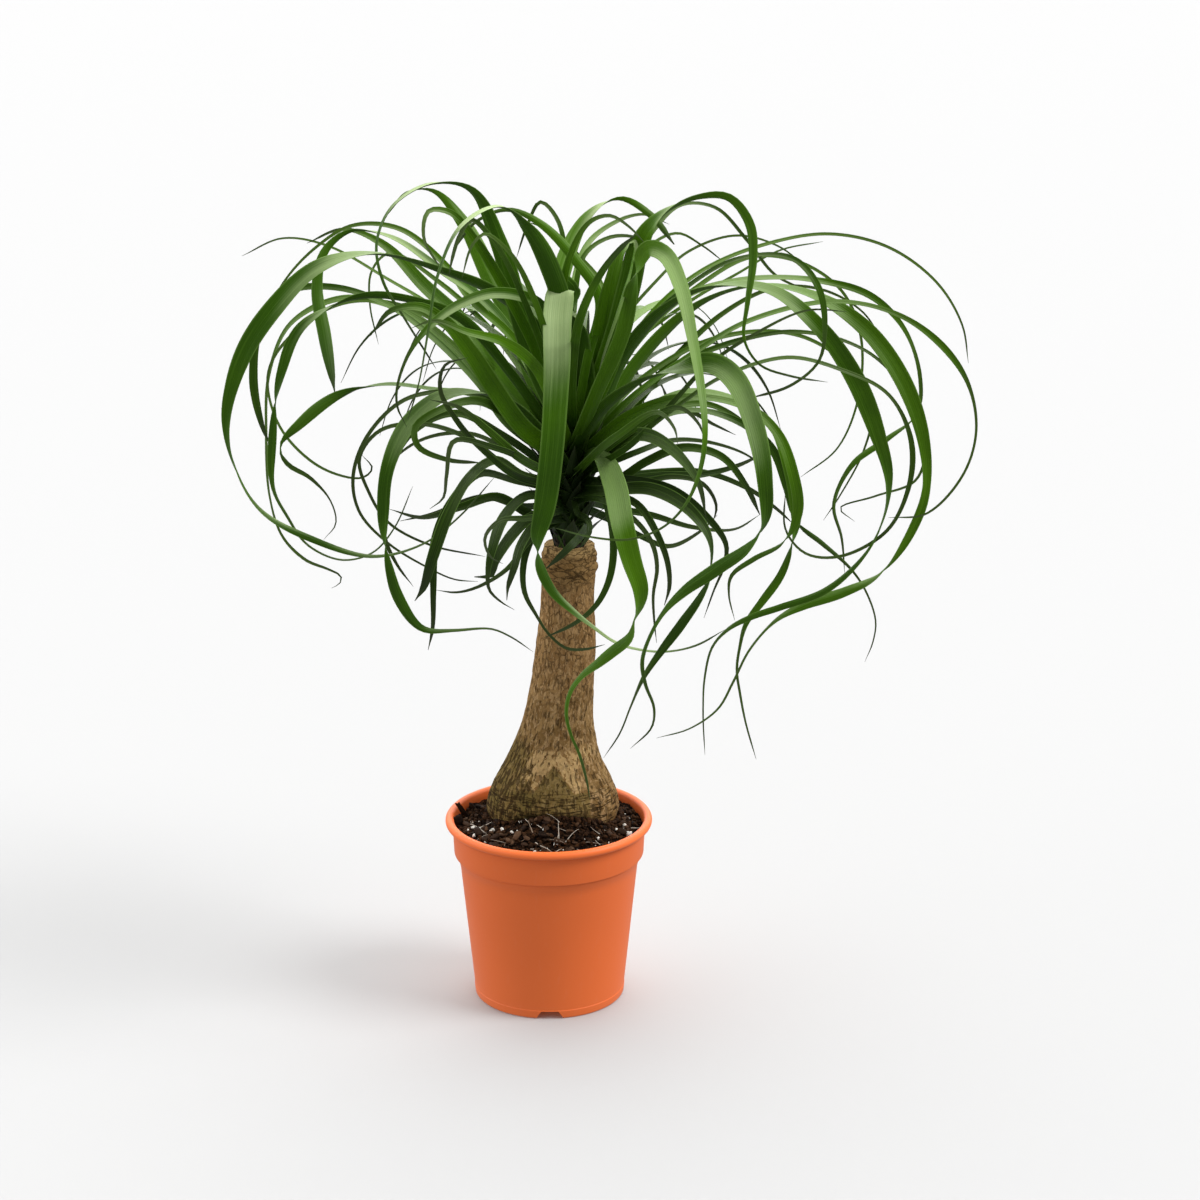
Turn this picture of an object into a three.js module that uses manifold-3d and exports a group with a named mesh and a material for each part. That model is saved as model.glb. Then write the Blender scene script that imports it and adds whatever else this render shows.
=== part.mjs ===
// Potted ponytail palm: a plastic nursery pot, its potting mix, a swollen trunk and a crown of strap leaves.
// Millimetres, +Z up. The pot stands on Z = 0 round the Z axis, and the side that is seen faces -Y.
import * as THREE from "three";
import { mergeVertices } from "three/addons/utils/BufferGeometryUtils.js";
import Module from "manifold-3d";

const wasm = await Module();
wasm.setup();
const { clamp, degToRad, smoothstep } = THREE.MathUtils;

// Driving sizes of the pot
const POT = {
  footRadius: 60.8,
  shoulderRadius: 73.2,
  shoulderZ: 115.5,
  collarRadius: 78,
  collarZ: 124.5,
  collarTopRadius: 79.2,
  collarTopZ: 147,
  lipRingRadius: 81.5,
  lipRadius: 3.5,
  lipZ: 152,
  wall: 1.7,
  floor: 1.8,
  channelInner: 38,
  channelOuter: 56,
  channelHeight: 6,
  step: 1.5,
  footFlare: 1.1,
  sides: 40,
};
const LIP_ARC = { from: -130, to: 165, steps: 7 };
const NOTCH = { count: 3, bottomWidth: 23, topWidth: 14, height: 7 };
const DRAIN = { count: 6, radius: 4, ringRadius: 47.5 };

// Room between two pieces that touch
const GAP = 0.35;

// Driving sizes of the potting mix
const SOIL = { level: 148, moundHeight: 14, moundX: 4, moundY: -30, moundWide: 42, moundDeep: 24, lump: 1.1 };
const SOIL_SIDES = 30;
const SOIL_RINGS = [72, 67, 61, 54, 47, 38, 22, 2];

// Trunk: [height, half width] from the buried foot of the bulb to the top of the neck
const TRUNK_PROFILE = [
  [110, 12], [114, 22], [122, 34], [134, 44], [147, 50.5], [157, 54], [166, 53.2], [183, 47.2], [200, 39],
  [217, 33.2], [238, 28.2], [260, 26], [283, 24.5], [305, 23.7], [327, 21.9], [349, 20.8], [364, 21.4],
  [371, 22.4], [379, 21], [388, 18],
];
const TRUNK_SIDES = 22;
const TRUNK_TOP = TRUNK_PROFILE[TRUNK_PROFILE.length - 1][0];
const TRUNK_LEAN = { foot: 4.2, shift: 12, from: 186, to: 338, back: 12, neckSlope: 0.03 };
const BULB_FLATTEN = { share: 0.2, from: 170, to: 260 };
const TRUNK_RIPPLE = { lobes: 3, lobeShare: 0.014, ribs: 7, ribShare: 0.01 };
const ROOT = {
  count: 7, ring: 11, spread: 11, wander: 0.35, foot: 48, head: 118,
  thick: 4.6, thin: 1.6, sides: 5, steps: 4,
};
const ROOT_WELL = { radius: 27, foot: 46, head: 124 };

// Stem tip that carries the leaves: [height above the trunk, half width]
const STEM_TIP = [[GAP, 17], [16, 19], [36, 24], [58, 29], [88, 29], [116, 22], [140, 8]];
const STEM_TIP_SIDES = 10;

// Leaf blades
const BLADE = { thickness: 1.3, channel: 0.26, swell: 1.1, minWidth: 0.9, taper: 0.8, tightest: 0.75 };
const ROWS = { length: 98, bend: 0.67, twist: 1.4, least: 5, samples: 240 };

// Leaves of the back and the inside, which arch over by a rule
const ARCHED = {
  count: 24, seed: 4711, steps: 9, goldenTurn: 2.39996, fan: 0.22,
  length: 250, moreLength: 120, foot: 412, moreFoot: 60, rise: 1.42, lessRise: 0.45,
  droop: 0.9, moreDroop: 0.5, droopPower: 1.05, sway: 0.5, broad: 9, moreBroad: 6, tilt: 0.5,
};

// The routes of the leaves are read on the upright plane through the trunk, as [across, up], from where
// the plant is looked at. A leaf stands off that plane toward the viewer by its "near" values, which are
// spread evenly over its route, as its "widths" are. The less a leaf reaches to the side, the more its near
// values are stretched, so that the crown is round from above. A width is the width seen, less than the
// blade's own where it turns its edge to the viewer, and negative where the underside shows.
const VIEWER = new THREE.Vector3(0, -2600, 1187);
const CROWN = { centreX: 18, reach: 285, leastStretch: 0.9, moreStretch: 1.5 };

// Each leaf: name, height of its foot on the stem tip, nears, widths, route
const LEAVES = [
  ["great left arch", 462, [25, 60, 90, 85, 70, 60],
    [-9, -9, -8, -6, -4, 1, 8, 12.5, 15, 14.5, 11, 5.5, 1, -1.8, -4.5, -5.5, -3, -2, -1.5, -1.2, -1],
    [[-3, 557], [-40, 593], [-85, 612], [-135, 625], [-180, 614], [-213, 583], [-239, 544], [-253, 495],
      [-248, 455], [-228, 418], [-190, 394], [-140, 379], [-100, 389], [-70, 412], [-42, 444]]],
  ["left back bow", 468, [-15, -35, -45, -40], [7, 6, 5, 4, 2.5, 2, 1],
    [[-25, 556], [-60, 590], [-78, 616], [-113, 645], [-150, 648], [-180, 630], [-205, 603],
      [-222, 570]]],
  ["left pale hanger", 466, [-20, -15, 0, 20], [8, 7, 6, 5, 3, -3, -7, -9, -11, -9.5, -1],
    [[-40, 578], [-82, 612], [-120, 638], [-152, 643], [-172, 628], [-179, 600], [-174, 560],
      [-167, 513]]],
  ["left high thread", 458, [-60, -90, -110], [6, 5, 3, 2.2, 2, 1.7, 1],
    [[-40, 535], [-85, 580], [-125, 606], [-170, 632], [-205, 638], [-237, 624]]],
  ["left dark strap", 460, [-20, -55, -70], [12, 12, 12, 11, 7, 2.5, 1.5],
    [[-40, 530], [-65, 570], [-95, 600], [-128, 634], [-158, 645], [-186, 634]]],
  ["left hoop", 456, [10, 30, 45, 40, 20],
    [-8, -8, -8, -7, -6, -6, -5, 2, 8, 9.4, 4, -5.5, -8, -2.5, -2.4, -1.5, -1.6, -1.5, -1.3, -1.1,
      -0.9],
    [[-28, 528], [-66, 573], [-100, 587], [-140, 592], [-172, 581], [-195, 564], [-209, 530],
      [-216, 490], [-218, 437], [-207, 412], [-192, 389], [-165, 376], [-140, 382], [-122, 403],
      [-107, 437]]],
  ["left dark hook", 452, [-20, -40, -35, -10], [5, 4.5, 4, 3.4, 3, 2.4, 2, 2.4, 2, 1.2],
    [[-30, 518], [-70, 560], [-110, 583], [-150, 588], [-180, 577], [-213, 545], [-220, 522],
      [-210, 484], [-180, 453], [-148, 444], [-139, 452], [-147, 463]]],
  ["left olive strap", 450, [20, 10, -20, -45], [6, 4.5, 5, 4.5, 4.5, 5.5, 5, 4, 7.6, 6.4, 1],
    [[-34, 490], [-54, 520], [-88, 557], [-125, 585], [-165, 599], [-203, 595], [-225, 563],
      [-231, 525], [-226, 490], [-219, 470]]],
  ["left outer curl", 448, [-30, -65, -75, -60], [8, 7, 6, 5, 5, 2.5, 2.5, 2, 1.5, 3, 0.8],
    [[-30, 500], [-70, 548], [-112, 580], [-160, 590], [-200, 570], [-218, 530], [-222, 480],
      [-221, 430], [-212, 396], [-194, 376], [-176, 368], [-166, 362], [-167, 356], [-174, 352]]],
  ["left folded leaf", 446, [5, 25, 40, 35],
    [6, 6, 6, 5, 4, 3, 3, 2.5, 2, -1.8, -7, -10.5, -9, -6.5, 1.5, 5, 2.8, 1.5, 1, 1, 0.9],
    [[-20, 498], [-50, 510], [-90, 516], [-128, 520], [-166, 511], [-194, 490], [-211, 470],
      [-206, 456], [-188, 444], [-173, 426], [-169, 406], [-179, 393]]],
  ["top left strap", 474, [12, 25, 35, 30, 20],
    [-15, -16, -16, -16, -16, -16, -15, -14, -11, -7, -3, 1, 2, 2, 2, 2, 2, 1.8, 1.6, 1.4, 1.2],
    [[4, 505], [-14, 552], [-25, 592], [-36, 632], [-58, 675], [-88, 680], [-118, 663], [-131, 635],
      [-127, 604], [-112, 576], [-87, 533]]],
  ["top left back strap", 470, [-15, -40, -55], [-14, -15, -16, -16, -16, -15, -12, -8, -2, 2, 1.2],
    [[-8, 520], [-24, 570], [-42, 604], [-63, 648], [-86, 674], [-107, 674], [-124, 655]]],
  ["top left hooked tip", 472, [20, 50, 65], [8, 9, 8, 6, 3, 1],
    [[-12, 556], [-38, 608], [-55, 636], [-74, 658], [-91, 659], [-95, 638], [-80, 610]]],
  ["top arch to the left", 476, [15, 50, 85, 85, 70],
    [-14, -15, -15, -15, -15, -15, -15, -14.5, -13, -7, -2.5, 2, 3, 2.6, 2.2, 1.9, 1.6, 1.4, 1.2, 1,
      0.8],
    [[18, 520], [18, 560], [5, 609], [-12, 642], [-37, 662], [-66, 646], [-84, 608], [-92, 565],
      [-101, 520], [-110, 492]]],
  ["top back arch", 474, [26, 22, 15], [-7, -7.5, -8, -8, -8, -7.5, -6, -3.5, -2.4, -2.4, -1.5],
    [[32, 540], [42, 588], [23, 620], [-3, 648], [-29, 660], [-55, 650], [-72, 628]]],
  ["front grey arch", 470, [32, 52, 66, 60], [9, 9, 9, 9, 8, 7.4, 6, 3, 2, 2, 1],
    [[8, 552], [-6, 585], [-40, 594], [-70, 584], [-93, 566], [-108, 546], [-118, 518], [-118, 502],
      [-111, 486]]],
  ["left inner dark leaf", 462, [40, 70, 80], [8, 9, 8, 5, 1],
    [[5, 505], [-10, 536], [-34, 555], [-62, 563], [-88, 572], [-106, 566]]],
  ["left inner broad leaf", 458, [30, 50, 60, 55], [14, 14, 14, 10, 6, 1],
    [[-18, 484], [-42, 518], [-60, 547], [-78, 570], [-98, 583], [-122, 580], [-138, 560]]],
  ["front long leaf", 466, [14, 30, 52, 66, 66, 56, 44, 38, 36],
    [-12, -14, -15, -13, 18, 22.5, 21.5, 20, 18.5, 18, 18, 17.5, 11, -8, -7.6, -5, -2, -1.7, -1.6, -1.5,
      -1.2],
    [[30, 505], [26, 545], [21, 582], [13, 599], [9, 578], [8, 530], [4, 468], [-2, 420], [-8, 390],
      [-5, 368], [5, 348], [20, 333], [38, 318], [54, 306], [70, 300], [95, 297], [120, 302],
      [143, 315]]],
  ["front twisted leaf", 446, [26, 54, 58, 50, 40, 34, 33],
    [7, 16, 18.5, 18.5, 18, 17, 15.5, 13.5, 8.5, 1, -6, -9.5, -8, -4.4, -3, -2.6, -2.4, -2.4, -2.2, -2,
      -1],
    [[42, 460], [53, 440], [60, 405], [67, 376], [74, 352], [74, 338], [69, 322], [65, 309], [52, 297],
      [41, 288], [27, 277], [17, 262], [14, 243], [18, 225], [25, 208], [31, 186], [34, 168]]],
  ["front slender leaf", 440, [12, 20, 25, 22], [6, 6, 6, 6, 5, 4, 3, 1],
    [[40, 438], [50, 412], [53, 385], [50, 360], [42, 341], [32, 329], [18, 319], [-3, 309]]],
  ["top right arch", 478, [0, -15, -25, -20], [9, 10, 12, 14, 15, 15, 10, 2, -6, -5.5, -4],
    [[11, 505], [7, 560], [12, 610], [32, 654], [58, 668], [82, 655], [100, 632]]],
  ["top right inner leaf", 476, [30, 50, 65], [7, 6, 5, 3, 1],
    [[12, 560], [17, 618], [34, 650], [50, 655], [65, 646], [78, 632]]],
  ["top right short leaf", 476, [40, 70, 80], [8, 7, 6, 3],
    [[20, 530], [27, 575], [42, 608], [57, 628], [70, 640]]],
  ["right dark upright", 468, [15, 30, 50, 70], [14, 15, 16, 16, 14, 9, 4, -3, -2.5, -2, -1],
    [[33, 505], [42, 550], [50, 595], [60, 628], [69, 634], [67, 618], [58, 585], [47, 550],
      [41, 530]]],
  ["right pale leaf", 466, [20, 45, 70, 80, 70],
    [16, 18, 19, 19, 18.5, 18, 17.5, 16, 8, 1, -4, -6, -7.4, -7, -5, -3.4, -2.4, -1.8, -1.6, -1.3, -1],
    [[38, 510], [54, 556], [65, 600], [74, 634], [92, 656], [118, 668], [142, 668], [158, 648],
      [161, 620], [157, 585], [155, 556], [168, 535], [192, 526], [222, 521]]],
  ["right dark bow", 464, [-20, -45, -55], [6, 5, 4, 3, 3, 2.6, 2.8, 3, 2.6, 2, 1],
    [[46, 545], [64, 608], [82, 640], [105, 663], [132, 661], [157, 635], [180, 607], [218, 590]]],
  ["right falling leaf", 460, [35, 60, 95, 120, 110, 95],
    [-10, -11, -12, -12, -12, -4, 13, 12.5, 11.5, 10, 8, 7, 5.4, 4, 3, 2.2, 1.8, 1.6, 1.5, 1.4, 1],
    [[40, 512], [60, 562], [69, 604], [80, 629], [93, 624], [105, 600], [115, 556], [122, 515],
      [125, 478], [121, 448], [110, 421], [92, 402], [65, 392], [35, 394], [5, 402]]],
  ["right band", 454, [25, 50, 85, 100, 95, 80, 70, 65],
    [-10, -8, -4, 4, 13, 16.5, 17.5, 15.5, 14.4, 12.4, 9.5, -2, -9.6, -10.6, -7.4, -2.4, -2.2, -3.4,
      -2.4, -1.5, -1],
    [[46, 500], [76, 522], [104, 532], [130, 537], [149, 523], [164, 488], [173, 446], [173, 405],
      [160, 385], [135, 366], [110, 348], [94, 332], [82, 310], [76, 288], [79, 268], [86, 248],
      [84, 231], [67, 213]]],
  ["right inner band", 452, [25, 45, 60, 50, 35],
    [10, 10, 9, 8, 6, 5, 5, 6, 7, 8, 8.5, 9, 9, 8, -1, -3.6, -4.6, -4, -1.5, -1.2, -1],
    [[60, 490], [95, 506], [130, 508], [165, 497], [184, 478], [196, 446], [200, 412], [188, 388],
      [166, 375], [148, 361], [146, 345], [151, 323]]],
  ["right long strand", 450, [10, 15, 10, 0, 0, 5],
    [8, 8, 7, 6, 4, 3, 4, 8.4, 10.6, 11, 8, -1, -5.4, -8, -5.6, -3, -2, -2, -1.8, -1.5, -1],
    [[62, 486], [110, 512], [150, 506], [178, 484], [194, 446], [199, 408], [195, 384], [187, 360],
      [173, 339], [160, 320], [155, 300], [153, 280], [156, 260], [161, 235], [170, 203]]],
  ["right hidden curl", 448, [-10, -25, -35, -30],
    [6, 6, 5, 4, 4, 5, 6, 7, 7, 7, 6.5, 5, -3, -5, -3.5, -2, -1.8, -1.6, -1.4, -1.2, -0.9],
    [[60, 478], [110, 498], [150, 490], [178, 468], [191, 435], [199, 406], [220, 388], [243, 367],
      [256, 348], [265, 322], [263, 303], [257, 287]]],
  ["right far arch", 464, [-10, -35, -45, -35], [5, 4.5, 4, 3.2, 3, 2.6, 2.6, 2.4, 2.2, 1.8, 1],
    [[50, 528], [85, 580], [125, 613], [175, 633], [222, 640], [268, 629], [306, 601], [327, 567],
      [333, 536]]],
  ["right wide hoop", 458, [-25, -60, -70, -45],
    [7, 7, 6, 5, 4, 4, 4, 4, 6, 6, 5, 3, 3, 4, -1, -5.4, -5.4, -3, -3, -2, -1],
    [[60, 540], [105, 588], [150, 603], [205, 604], [252, 592], [280, 566], [295, 525], [293, 495],
      [270, 474], [243, 453], [229, 420], [236, 392], [239, 363]]],
  ["right hooked leaf", 462, [20, 45, 60, 55], [6, 5, 4, 3.4, 3.4, 2.4, 5.4, 5, 2, 2.4, 2],
    [[50, 535], [98, 588], [148, 620], [192, 621], [213, 598], [219, 562], [214, 537], [192, 518],
      [160, 508]]],
  ["right outermost arch", 452, [0, 15, 20, 5], [5, 4.5, 4, 4, 3.2, 3.6, 6.2, 2.4, 2, 2.2, 1],
    [[62, 504], [115, 544], [160, 571], [225, 586], [275, 576], [310, 552], [333, 520], [341, 480],
      [331, 443], [303, 412], [273, 409]]],
  ["right broad leaf", 456, [25, 50, 60, 45, 25, 15, 10],
    [-12, -12, -10, -7, -3, 6, 10, 12.4, 14.6, 15.4, 11.6, 5.6, 1, -2.8, -5, -5.4, -5.4, -1.8, -1.5,
      -1.2, -0.9],
    [[42, 498], [60, 540], [90, 577], [128, 597], [175, 595], [214, 566], [243, 525], [262, 480],
      [272, 440], [266, 400], [247, 369], [222, 347], [188, 334], [165, 326], [146, 316], [133, 301],
      [127, 275], [126, 245], [128, 207]]],
  ["right outer broad leaf", 450, [-5, -20, -20, -5, 5, 15, 20],
    [-10, -10, -9, -6, -2, 4, 7, 13, 14, 13.6, 10.6, 6, 8.2, 3, -7.4, -9.4, -2, -1.6, -2, -1.4, -0.9],
    [[48, 496], [72, 537], [115, 580], [160, 598], [205, 592], [248, 567], [280, 525], [299, 475],
      [302, 430], [292, 398], [268, 363], [240, 347], [208, 336], [184, 323], [163, 298], [150, 270],
      [138, 247], [115, 230], [88, 222]]],
  ["right back leaf", 448, [-50, -75, -80], [7, 6, 4.5, 3, 2, 1],
    [[56, 484], [98, 538], [140, 578], [178, 597], [215, 596], [248, 578], [268, 548]]],
  ["right slender leaf", 446, [50, 65, 60], [5, 4, 3, 2, 1],
    [[66, 470], [97, 502], [126, 534], [160, 558], [204, 579], [236, 578]]],
  ["right great loop", 444, [50, 80, 70, 45, 30, 35], [4, 3.4, 2.6, 3, 3, 2.6, 5, 3, 2.6, 2, 1],
    [[68, 474], [104, 502], [140, 526], [190, 541], [235, 530], [270, 511], [289, 475], [289, 436],
      [272, 398], [236, 377], [208, 379], [191, 399], [190, 432]]],
  ["right high bow", 468, [-60, -85, -85], [3.5, 2.6, 2.2, 1.8, 1],
    [[52, 560], [86, 603], [112, 627], [148, 639], [182, 630], [210, 607]]],
  ["right back bow", 460, [-45, -70, -60], [5, 4, 3, 2.4, 2, 1],
    [[60, 545], [110, 592], [160, 622], [200, 617], [232, 594], [247, 560], [247, 510], [231, 467],
      [202, 443]]],
  ["right back hanger", 456, [-40, -75, -80], [5, 4, 3, 2, 1],
    [[70, 520], [130, 556], [195, 560], [238, 534], [257, 496], [252, 465], [234, 428], [221, 407]]],
  ["right back crook", 452, [-20, -45, -50, -40], [5, 5, 3.5, 2.5, 3, 2, 1],
    [[66, 508], [120, 544], [195, 562], [252, 546], [288, 508], [301, 468], [294, 440], [262, 427],
      [234, 417], [246, 406]]],
  ["right skirt leaf", 438, [20, 50, 72, 75], [9, 10, 10, 11, 11, 10, 9, 8, 6, 3, 2],
    [[48, 466], [64, 478], [84, 477], [107, 459], [121, 438], [127, 410]]],
  ["right skirt long leaf", 430, [30, 50, 55, 50, 40],
    [8, 9, 10, 10, 11, 9, 7, 3, 1, -3.4, -6, -8, -8, -6, -4.6, -2.6, -1.6, -1.4, -1.2, -1, -0.9],
    [[48, 432], [82, 434], [112, 418], [129, 393], [130, 362], [123, 344], [108, 320], [91, 296],
      [77, 274], [67, 250], [58, 226], [45, 205]]],
  ["right skirt hanger", 434, [20, 35, 35, 30], [7, 7, 7, 6, 3, 1.5, 1],
    [[60, 442], [100, 433], [127, 411], [143, 388], [142, 370], [134, 349], [126, 325]]],
  ["right skirt hook", 440, [10, 15, 10], [6, 7, 7, 6, 5, 3],
    [[56, 442], [78, 456], [108, 468], [138, 461], [158, 437], [170, 412]]],
  ["right skirt spear", 436, [-10, -30, -40], [7, 6, 6, 4, 1],
    [[58, 441], [90, 445], [125, 446], [152, 453], [178, 466]]],
  ["right skirt bow", 446, [-15, -40, -50], [7, 6, 6, 4, 2],
    [[62, 476], [92, 497], [124, 504], [150, 493], [168, 474]]],
  ["right low leaf", 426, [20, 35, 38], [6, 6, 6, 5, 4, 2],
    [[50, 430], [72, 421], [87, 398], [96, 374], [98, 352], [94, 336]]],
  ["left sickle", 444, [20, 40, 60, 60, 45, 35],
    [-8, -8, -6, -3, 4, 8.6, 12, 13.4, 12, 9, 11, 5, -5, -8.4, -9.4, -7, -2.8, -2.4, -1.5, -1.2, -1],
    [[-2, 476], [-34, 507], [-78, 512], [-107, 492], [-126, 455], [-131, 412], [-127, 370], [-121, 346],
      [-107, 322], [-97, 316], [-75, 316], [-46, 317], [-30, 310], [-12, 297]]],
  ["left inner sickle", 442, [30, 55, 60, 45], [7, 7, 6, 5, 4, 2],
    [[-28, 492], [-55, 507], [-82, 501], [-104, 486], [-103, 471], [-80, 459], [-52, 456]]],
  ["left outer sickle", 440, [20, 40, 45, 35, 30], [5, 4, 3.4, 3, 3, 2.4, 2, 1.5, 1],
    [[-26, 494], [-60, 513], [-110, 509], [-140, 482], [-154, 448], [-150, 416], [-128, 390],
      [-98, 370], [-75, 359], [-56, 357]]],
  ["left low hoop", 436, [10, 20, 20, 10], [5, 4, 3.4, 3, 2.6, 2.2, 1.8, 1],
    [[-28, 450], [-62, 476], [-98, 488], [-132, 483], [-149, 460], [-142, 432], [-127, 407], [-94, 388],
      [-50, 378]]],
  ["left low bow", 438, [5, -10, -20], [4, 3.4, 3, 2, 1],
    [[-30, 466], [-60, 480], [-95, 477], [-120, 461], [-132, 440]]],
  ["left upturned leaf", 436, [45, 70, 75], [6, 5, 4.6, 4.4, 3, 1],
    [[-26, 446], [-50, 466], [-70, 489], [-84, 516], [-80, 536], [-62, 542]]],
  ["left hidden strand", 438, [-10, -25, -20], [6, 6, 5, 4, 4, 1],
    [[-34, 478], [-72, 497], [-108, 480], [-128, 440], [-131, 398], [-121, 372], [-108, 353]]],
  ["left skirt leaf", 432, [35, 60, 70, 60], [5, 5, 6.4, 7.4, 7.4, 7.6, 10, 9.4, 8, 7, 1],
    [[-20, 446], [-42, 458], [-62, 444], [-80, 412], [-92, 378], [-100, 352], [-107, 341]]],
  ["left skirt strand", 430, [20, 30, 35, 35], [5, 5, 6, 7, 8, 8, 7, 5, 4.4, 3.4, 1],
    [[-24, 440], [-54, 447], [-76, 424], [-90, 390], [-92, 350], [-93, 318], [-97, 299]]],
  ["left skirt spear", 426, [20, 25, 10], [7, 7, 7, 5, 3, 1],
    [[-10, 412], [-40, 428], [-68, 420], [-100, 411], [-126, 418]]],
  ["left low strap", 420, [30, 50, 52], [7, 8, 9, 8, 3, 2, 1],
    [[-18, 428], [-34, 412], [-44, 386], [-48, 364], [-47, 350], [-38, 340], [-27, 333]]],
  ["left low broad strap", 416, [25, 40, 40], [8, 9, 9, 6, 2],
    [[-14, 410], [-30, 394], [-42, 374], [-46, 362], [-59, 361]]],
  ["left low blade", 412, [30, 42, 44], [7, 7, 7, 5, 1],
    [[-12, 402], [-22, 386], [-27, 368], [-32, 352], [-33, 341]]],
  ["left trunk strand", 410, [10, 16, 20, 21, 20], [6, 6, 5, 4, 2.5, 2, 2, 3, 1],
    [[-8, 400], [-17, 382], [-20, 362], [-18, 346], [-10, 330], [1, 312], [15, 300], [30, 299],
      [46, 303]]],
];

// Materials
const finish = (color, roughness) => new THREE.MeshStandardMaterial({ color, roughness, metalness: 0 });
const POT_PLASTIC = finish(0xc8612f, 0.45);
const POTTING_MIX = finish(0x2b1f18, 0.95);
const BARK = finish(0x86684a, 0.9);
const LEAF = finish(0x3f6323, 0.5);

// A random draw between 0 and 1 that comes out the same each time
function seededDraw(seed) {
  let state = seed;
  return () => {
    state = (state * 16807) % 2147483647;
    return state / 2147483647;
  };
}

// The value that a list, spread evenly over 0 to 1, has at t
function spread(list, t) {
  const place = clamp(t, 0, 1) * (list.length - 1);
  const lower = Math.min(Math.floor(place), list.length - 2);
  return list[lower] + (list[lower + 1] - list[lower]) * (place - lower);
}

function solidFrom(positions, triangles) {
  return new wasm.Manifold(new wasm.Mesh({
    numProp: 3,
    vertProperties: new Float32Array(positions),
    triVerts: new Uint32Array(triangles),
  }));
}

function toManifold(geometry) {
  const bare = geometry.clone();
  bare.deleteAttribute("normal");
  bare.deleteAttribute("uv");
  const merged = mergeVertices(bare, 1e-4);
  return solidFrom(merged.attributes.position.array, merged.index.array);
}

function toGeometry(solid) {
  const mesh = solid.getMesh();
  const geometry = new THREE.BufferGeometry();
  geometry.setAttribute("position", new THREE.BufferAttribute(new Float32Array(mesh.vertProperties), 3));
  geometry.setIndex(new THREE.BufferAttribute(new Uint32Array(mesh.triVerts), 1));
  geometry.computeVertexNormals();
  return geometry;
}

// Several solids grown into one, with no sealed hollow and no loose scrap
function fused(solids) {
  const bodies = wasm.Manifold.union(solids).decompose();
  return bodies.reduce((largest, body) => (body.volume() > largest.volume() ? body : largest));
}

const coordinates = (rings) => rings.flat().flatMap((point) => [point.x, point.y, point.z]);

// A closed body from rings of points, with both ends filled
function ringBody(rings) {
  const sides = rings[0].length;
  const triangles = [];
  for (let row = 0; row + 1 < rings.length; row += 1) {
    for (let side = 0; side < sides; side += 1) {
      const next = (side + 1) % sides;
      const a = row * sides + side;
      const b = row * sides + next;
      triangles.push(a, b, b + sides, a, b + sides, a + sides);
    }
  }
  const last = (rings.length - 1) * sides;
  for (let side = 1; side + 1 < sides; side += 1) {
    triangles.push(0, side + 1, side, last, last + side, last + side + 1);
  }
  return solidFrom(coordinates(rings), triangles);
}

// A level ring of points round a centre, with its half width given for each direction
function ringAround(centre, z, sides, halfWidth, depthShare = 1) {
  return Array.from({ length: sides }, (_, side) => {
    const angle = (side / sides) * Math.PI * 2;
    const reach = halfWidth(angle);
    return new THREE.Vector3(
      centre.x + reach * Math.cos(angle), centre.y + reach * depthShare * Math.sin(angle), z);
  });
}

// Pot
function lipArc() {
  const points = [];
  for (let step = 0; step <= LIP_ARC.steps; step += 1) {
    const turn = LIP_ARC.from + ((LIP_ARC.to - LIP_ARC.from) * step) / LIP_ARC.steps;
    const angle = degToRad(turn);
    points.push([
      POT.lipRingRadius + POT.lipRadius * Math.cos(angle),
      POT.lipZ + POT.lipRadius * Math.sin(angle),
    ]);
  }
  return points;
}

function potProfile() {
  const { wall, step, footFlare } = POT;
  const plate = POT.channelHeight + POT.floor;
  const outside = [
    [0, 0],
    [POT.channelInner - step, 0],
    [POT.channelInner + step, POT.channelHeight],
    [POT.channelOuter - step, POT.channelHeight],
    [POT.channelOuter, 0],
    [POT.footRadius, 0],
    [POT.footRadius + footFlare, footFlare],
    [POT.shoulderRadius, POT.shoulderZ],
    [POT.collarRadius, POT.collarZ],
    [POT.collarTopRadius, POT.collarTopZ],
  ];
  const inside = [
    [POT.collarTopRadius - wall, POT.collarTopZ],
    [POT.collarRadius - wall, POT.collarZ + 1],
    [POT.shoulderRadius - wall, POT.shoulderZ + 1],
    [POT.footRadius + footFlare - wall, plate + footFlare],
    [POT.footRadius - wall, plate],
    [POT.channelInner + 2 * step, plate],
    [POT.channelInner, POT.floor],
    [0, POT.floor],
  ];
  return [...outside, ...lipArc(), ...inside].map(([r, z]) => new THREE.Vector2(r, z));
}

function notchCutter(angle) {
  const outline = new THREE.Shape();
  const below = 1;
  const reach = 12;
  const slope = (NOTCH.bottomWidth - NOTCH.topWidth) / 2 / NOTCH.height;
  const bottom = NOTCH.bottomWidth / 2 + below * slope;
  outline.moveTo(-bottom, -below);
  outline.lineTo(bottom, -below);
  outline.lineTo(NOTCH.topWidth / 2, NOTCH.height);
  outline.lineTo(-NOTCH.topWidth / 2, NOTCH.height);
  outline.closePath();
  const cutter = new THREE.ExtrudeGeometry(outline, { depth: reach, bevelEnabled: false });
  cutter.rotateX(Math.PI / 2);
  cutter.translate(0, reach / 3 - POT.channelOuter, 0);
  cutter.rotateZ(angle);
  return toManifold(cutter);
}

function drainCutter(angle) {
  const cutter = new THREE.CylinderGeometry(DRAIN.radius, DRAIN.radius, 4 * POT.floor, 12);
  cutter.rotateX(Math.PI / 2);
  cutter.translate(0, -DRAIN.ringRadius, POT.channelHeight + POT.floor / 2);
  cutter.rotateZ(angle);
  return toManifold(cutter);
}

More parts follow.
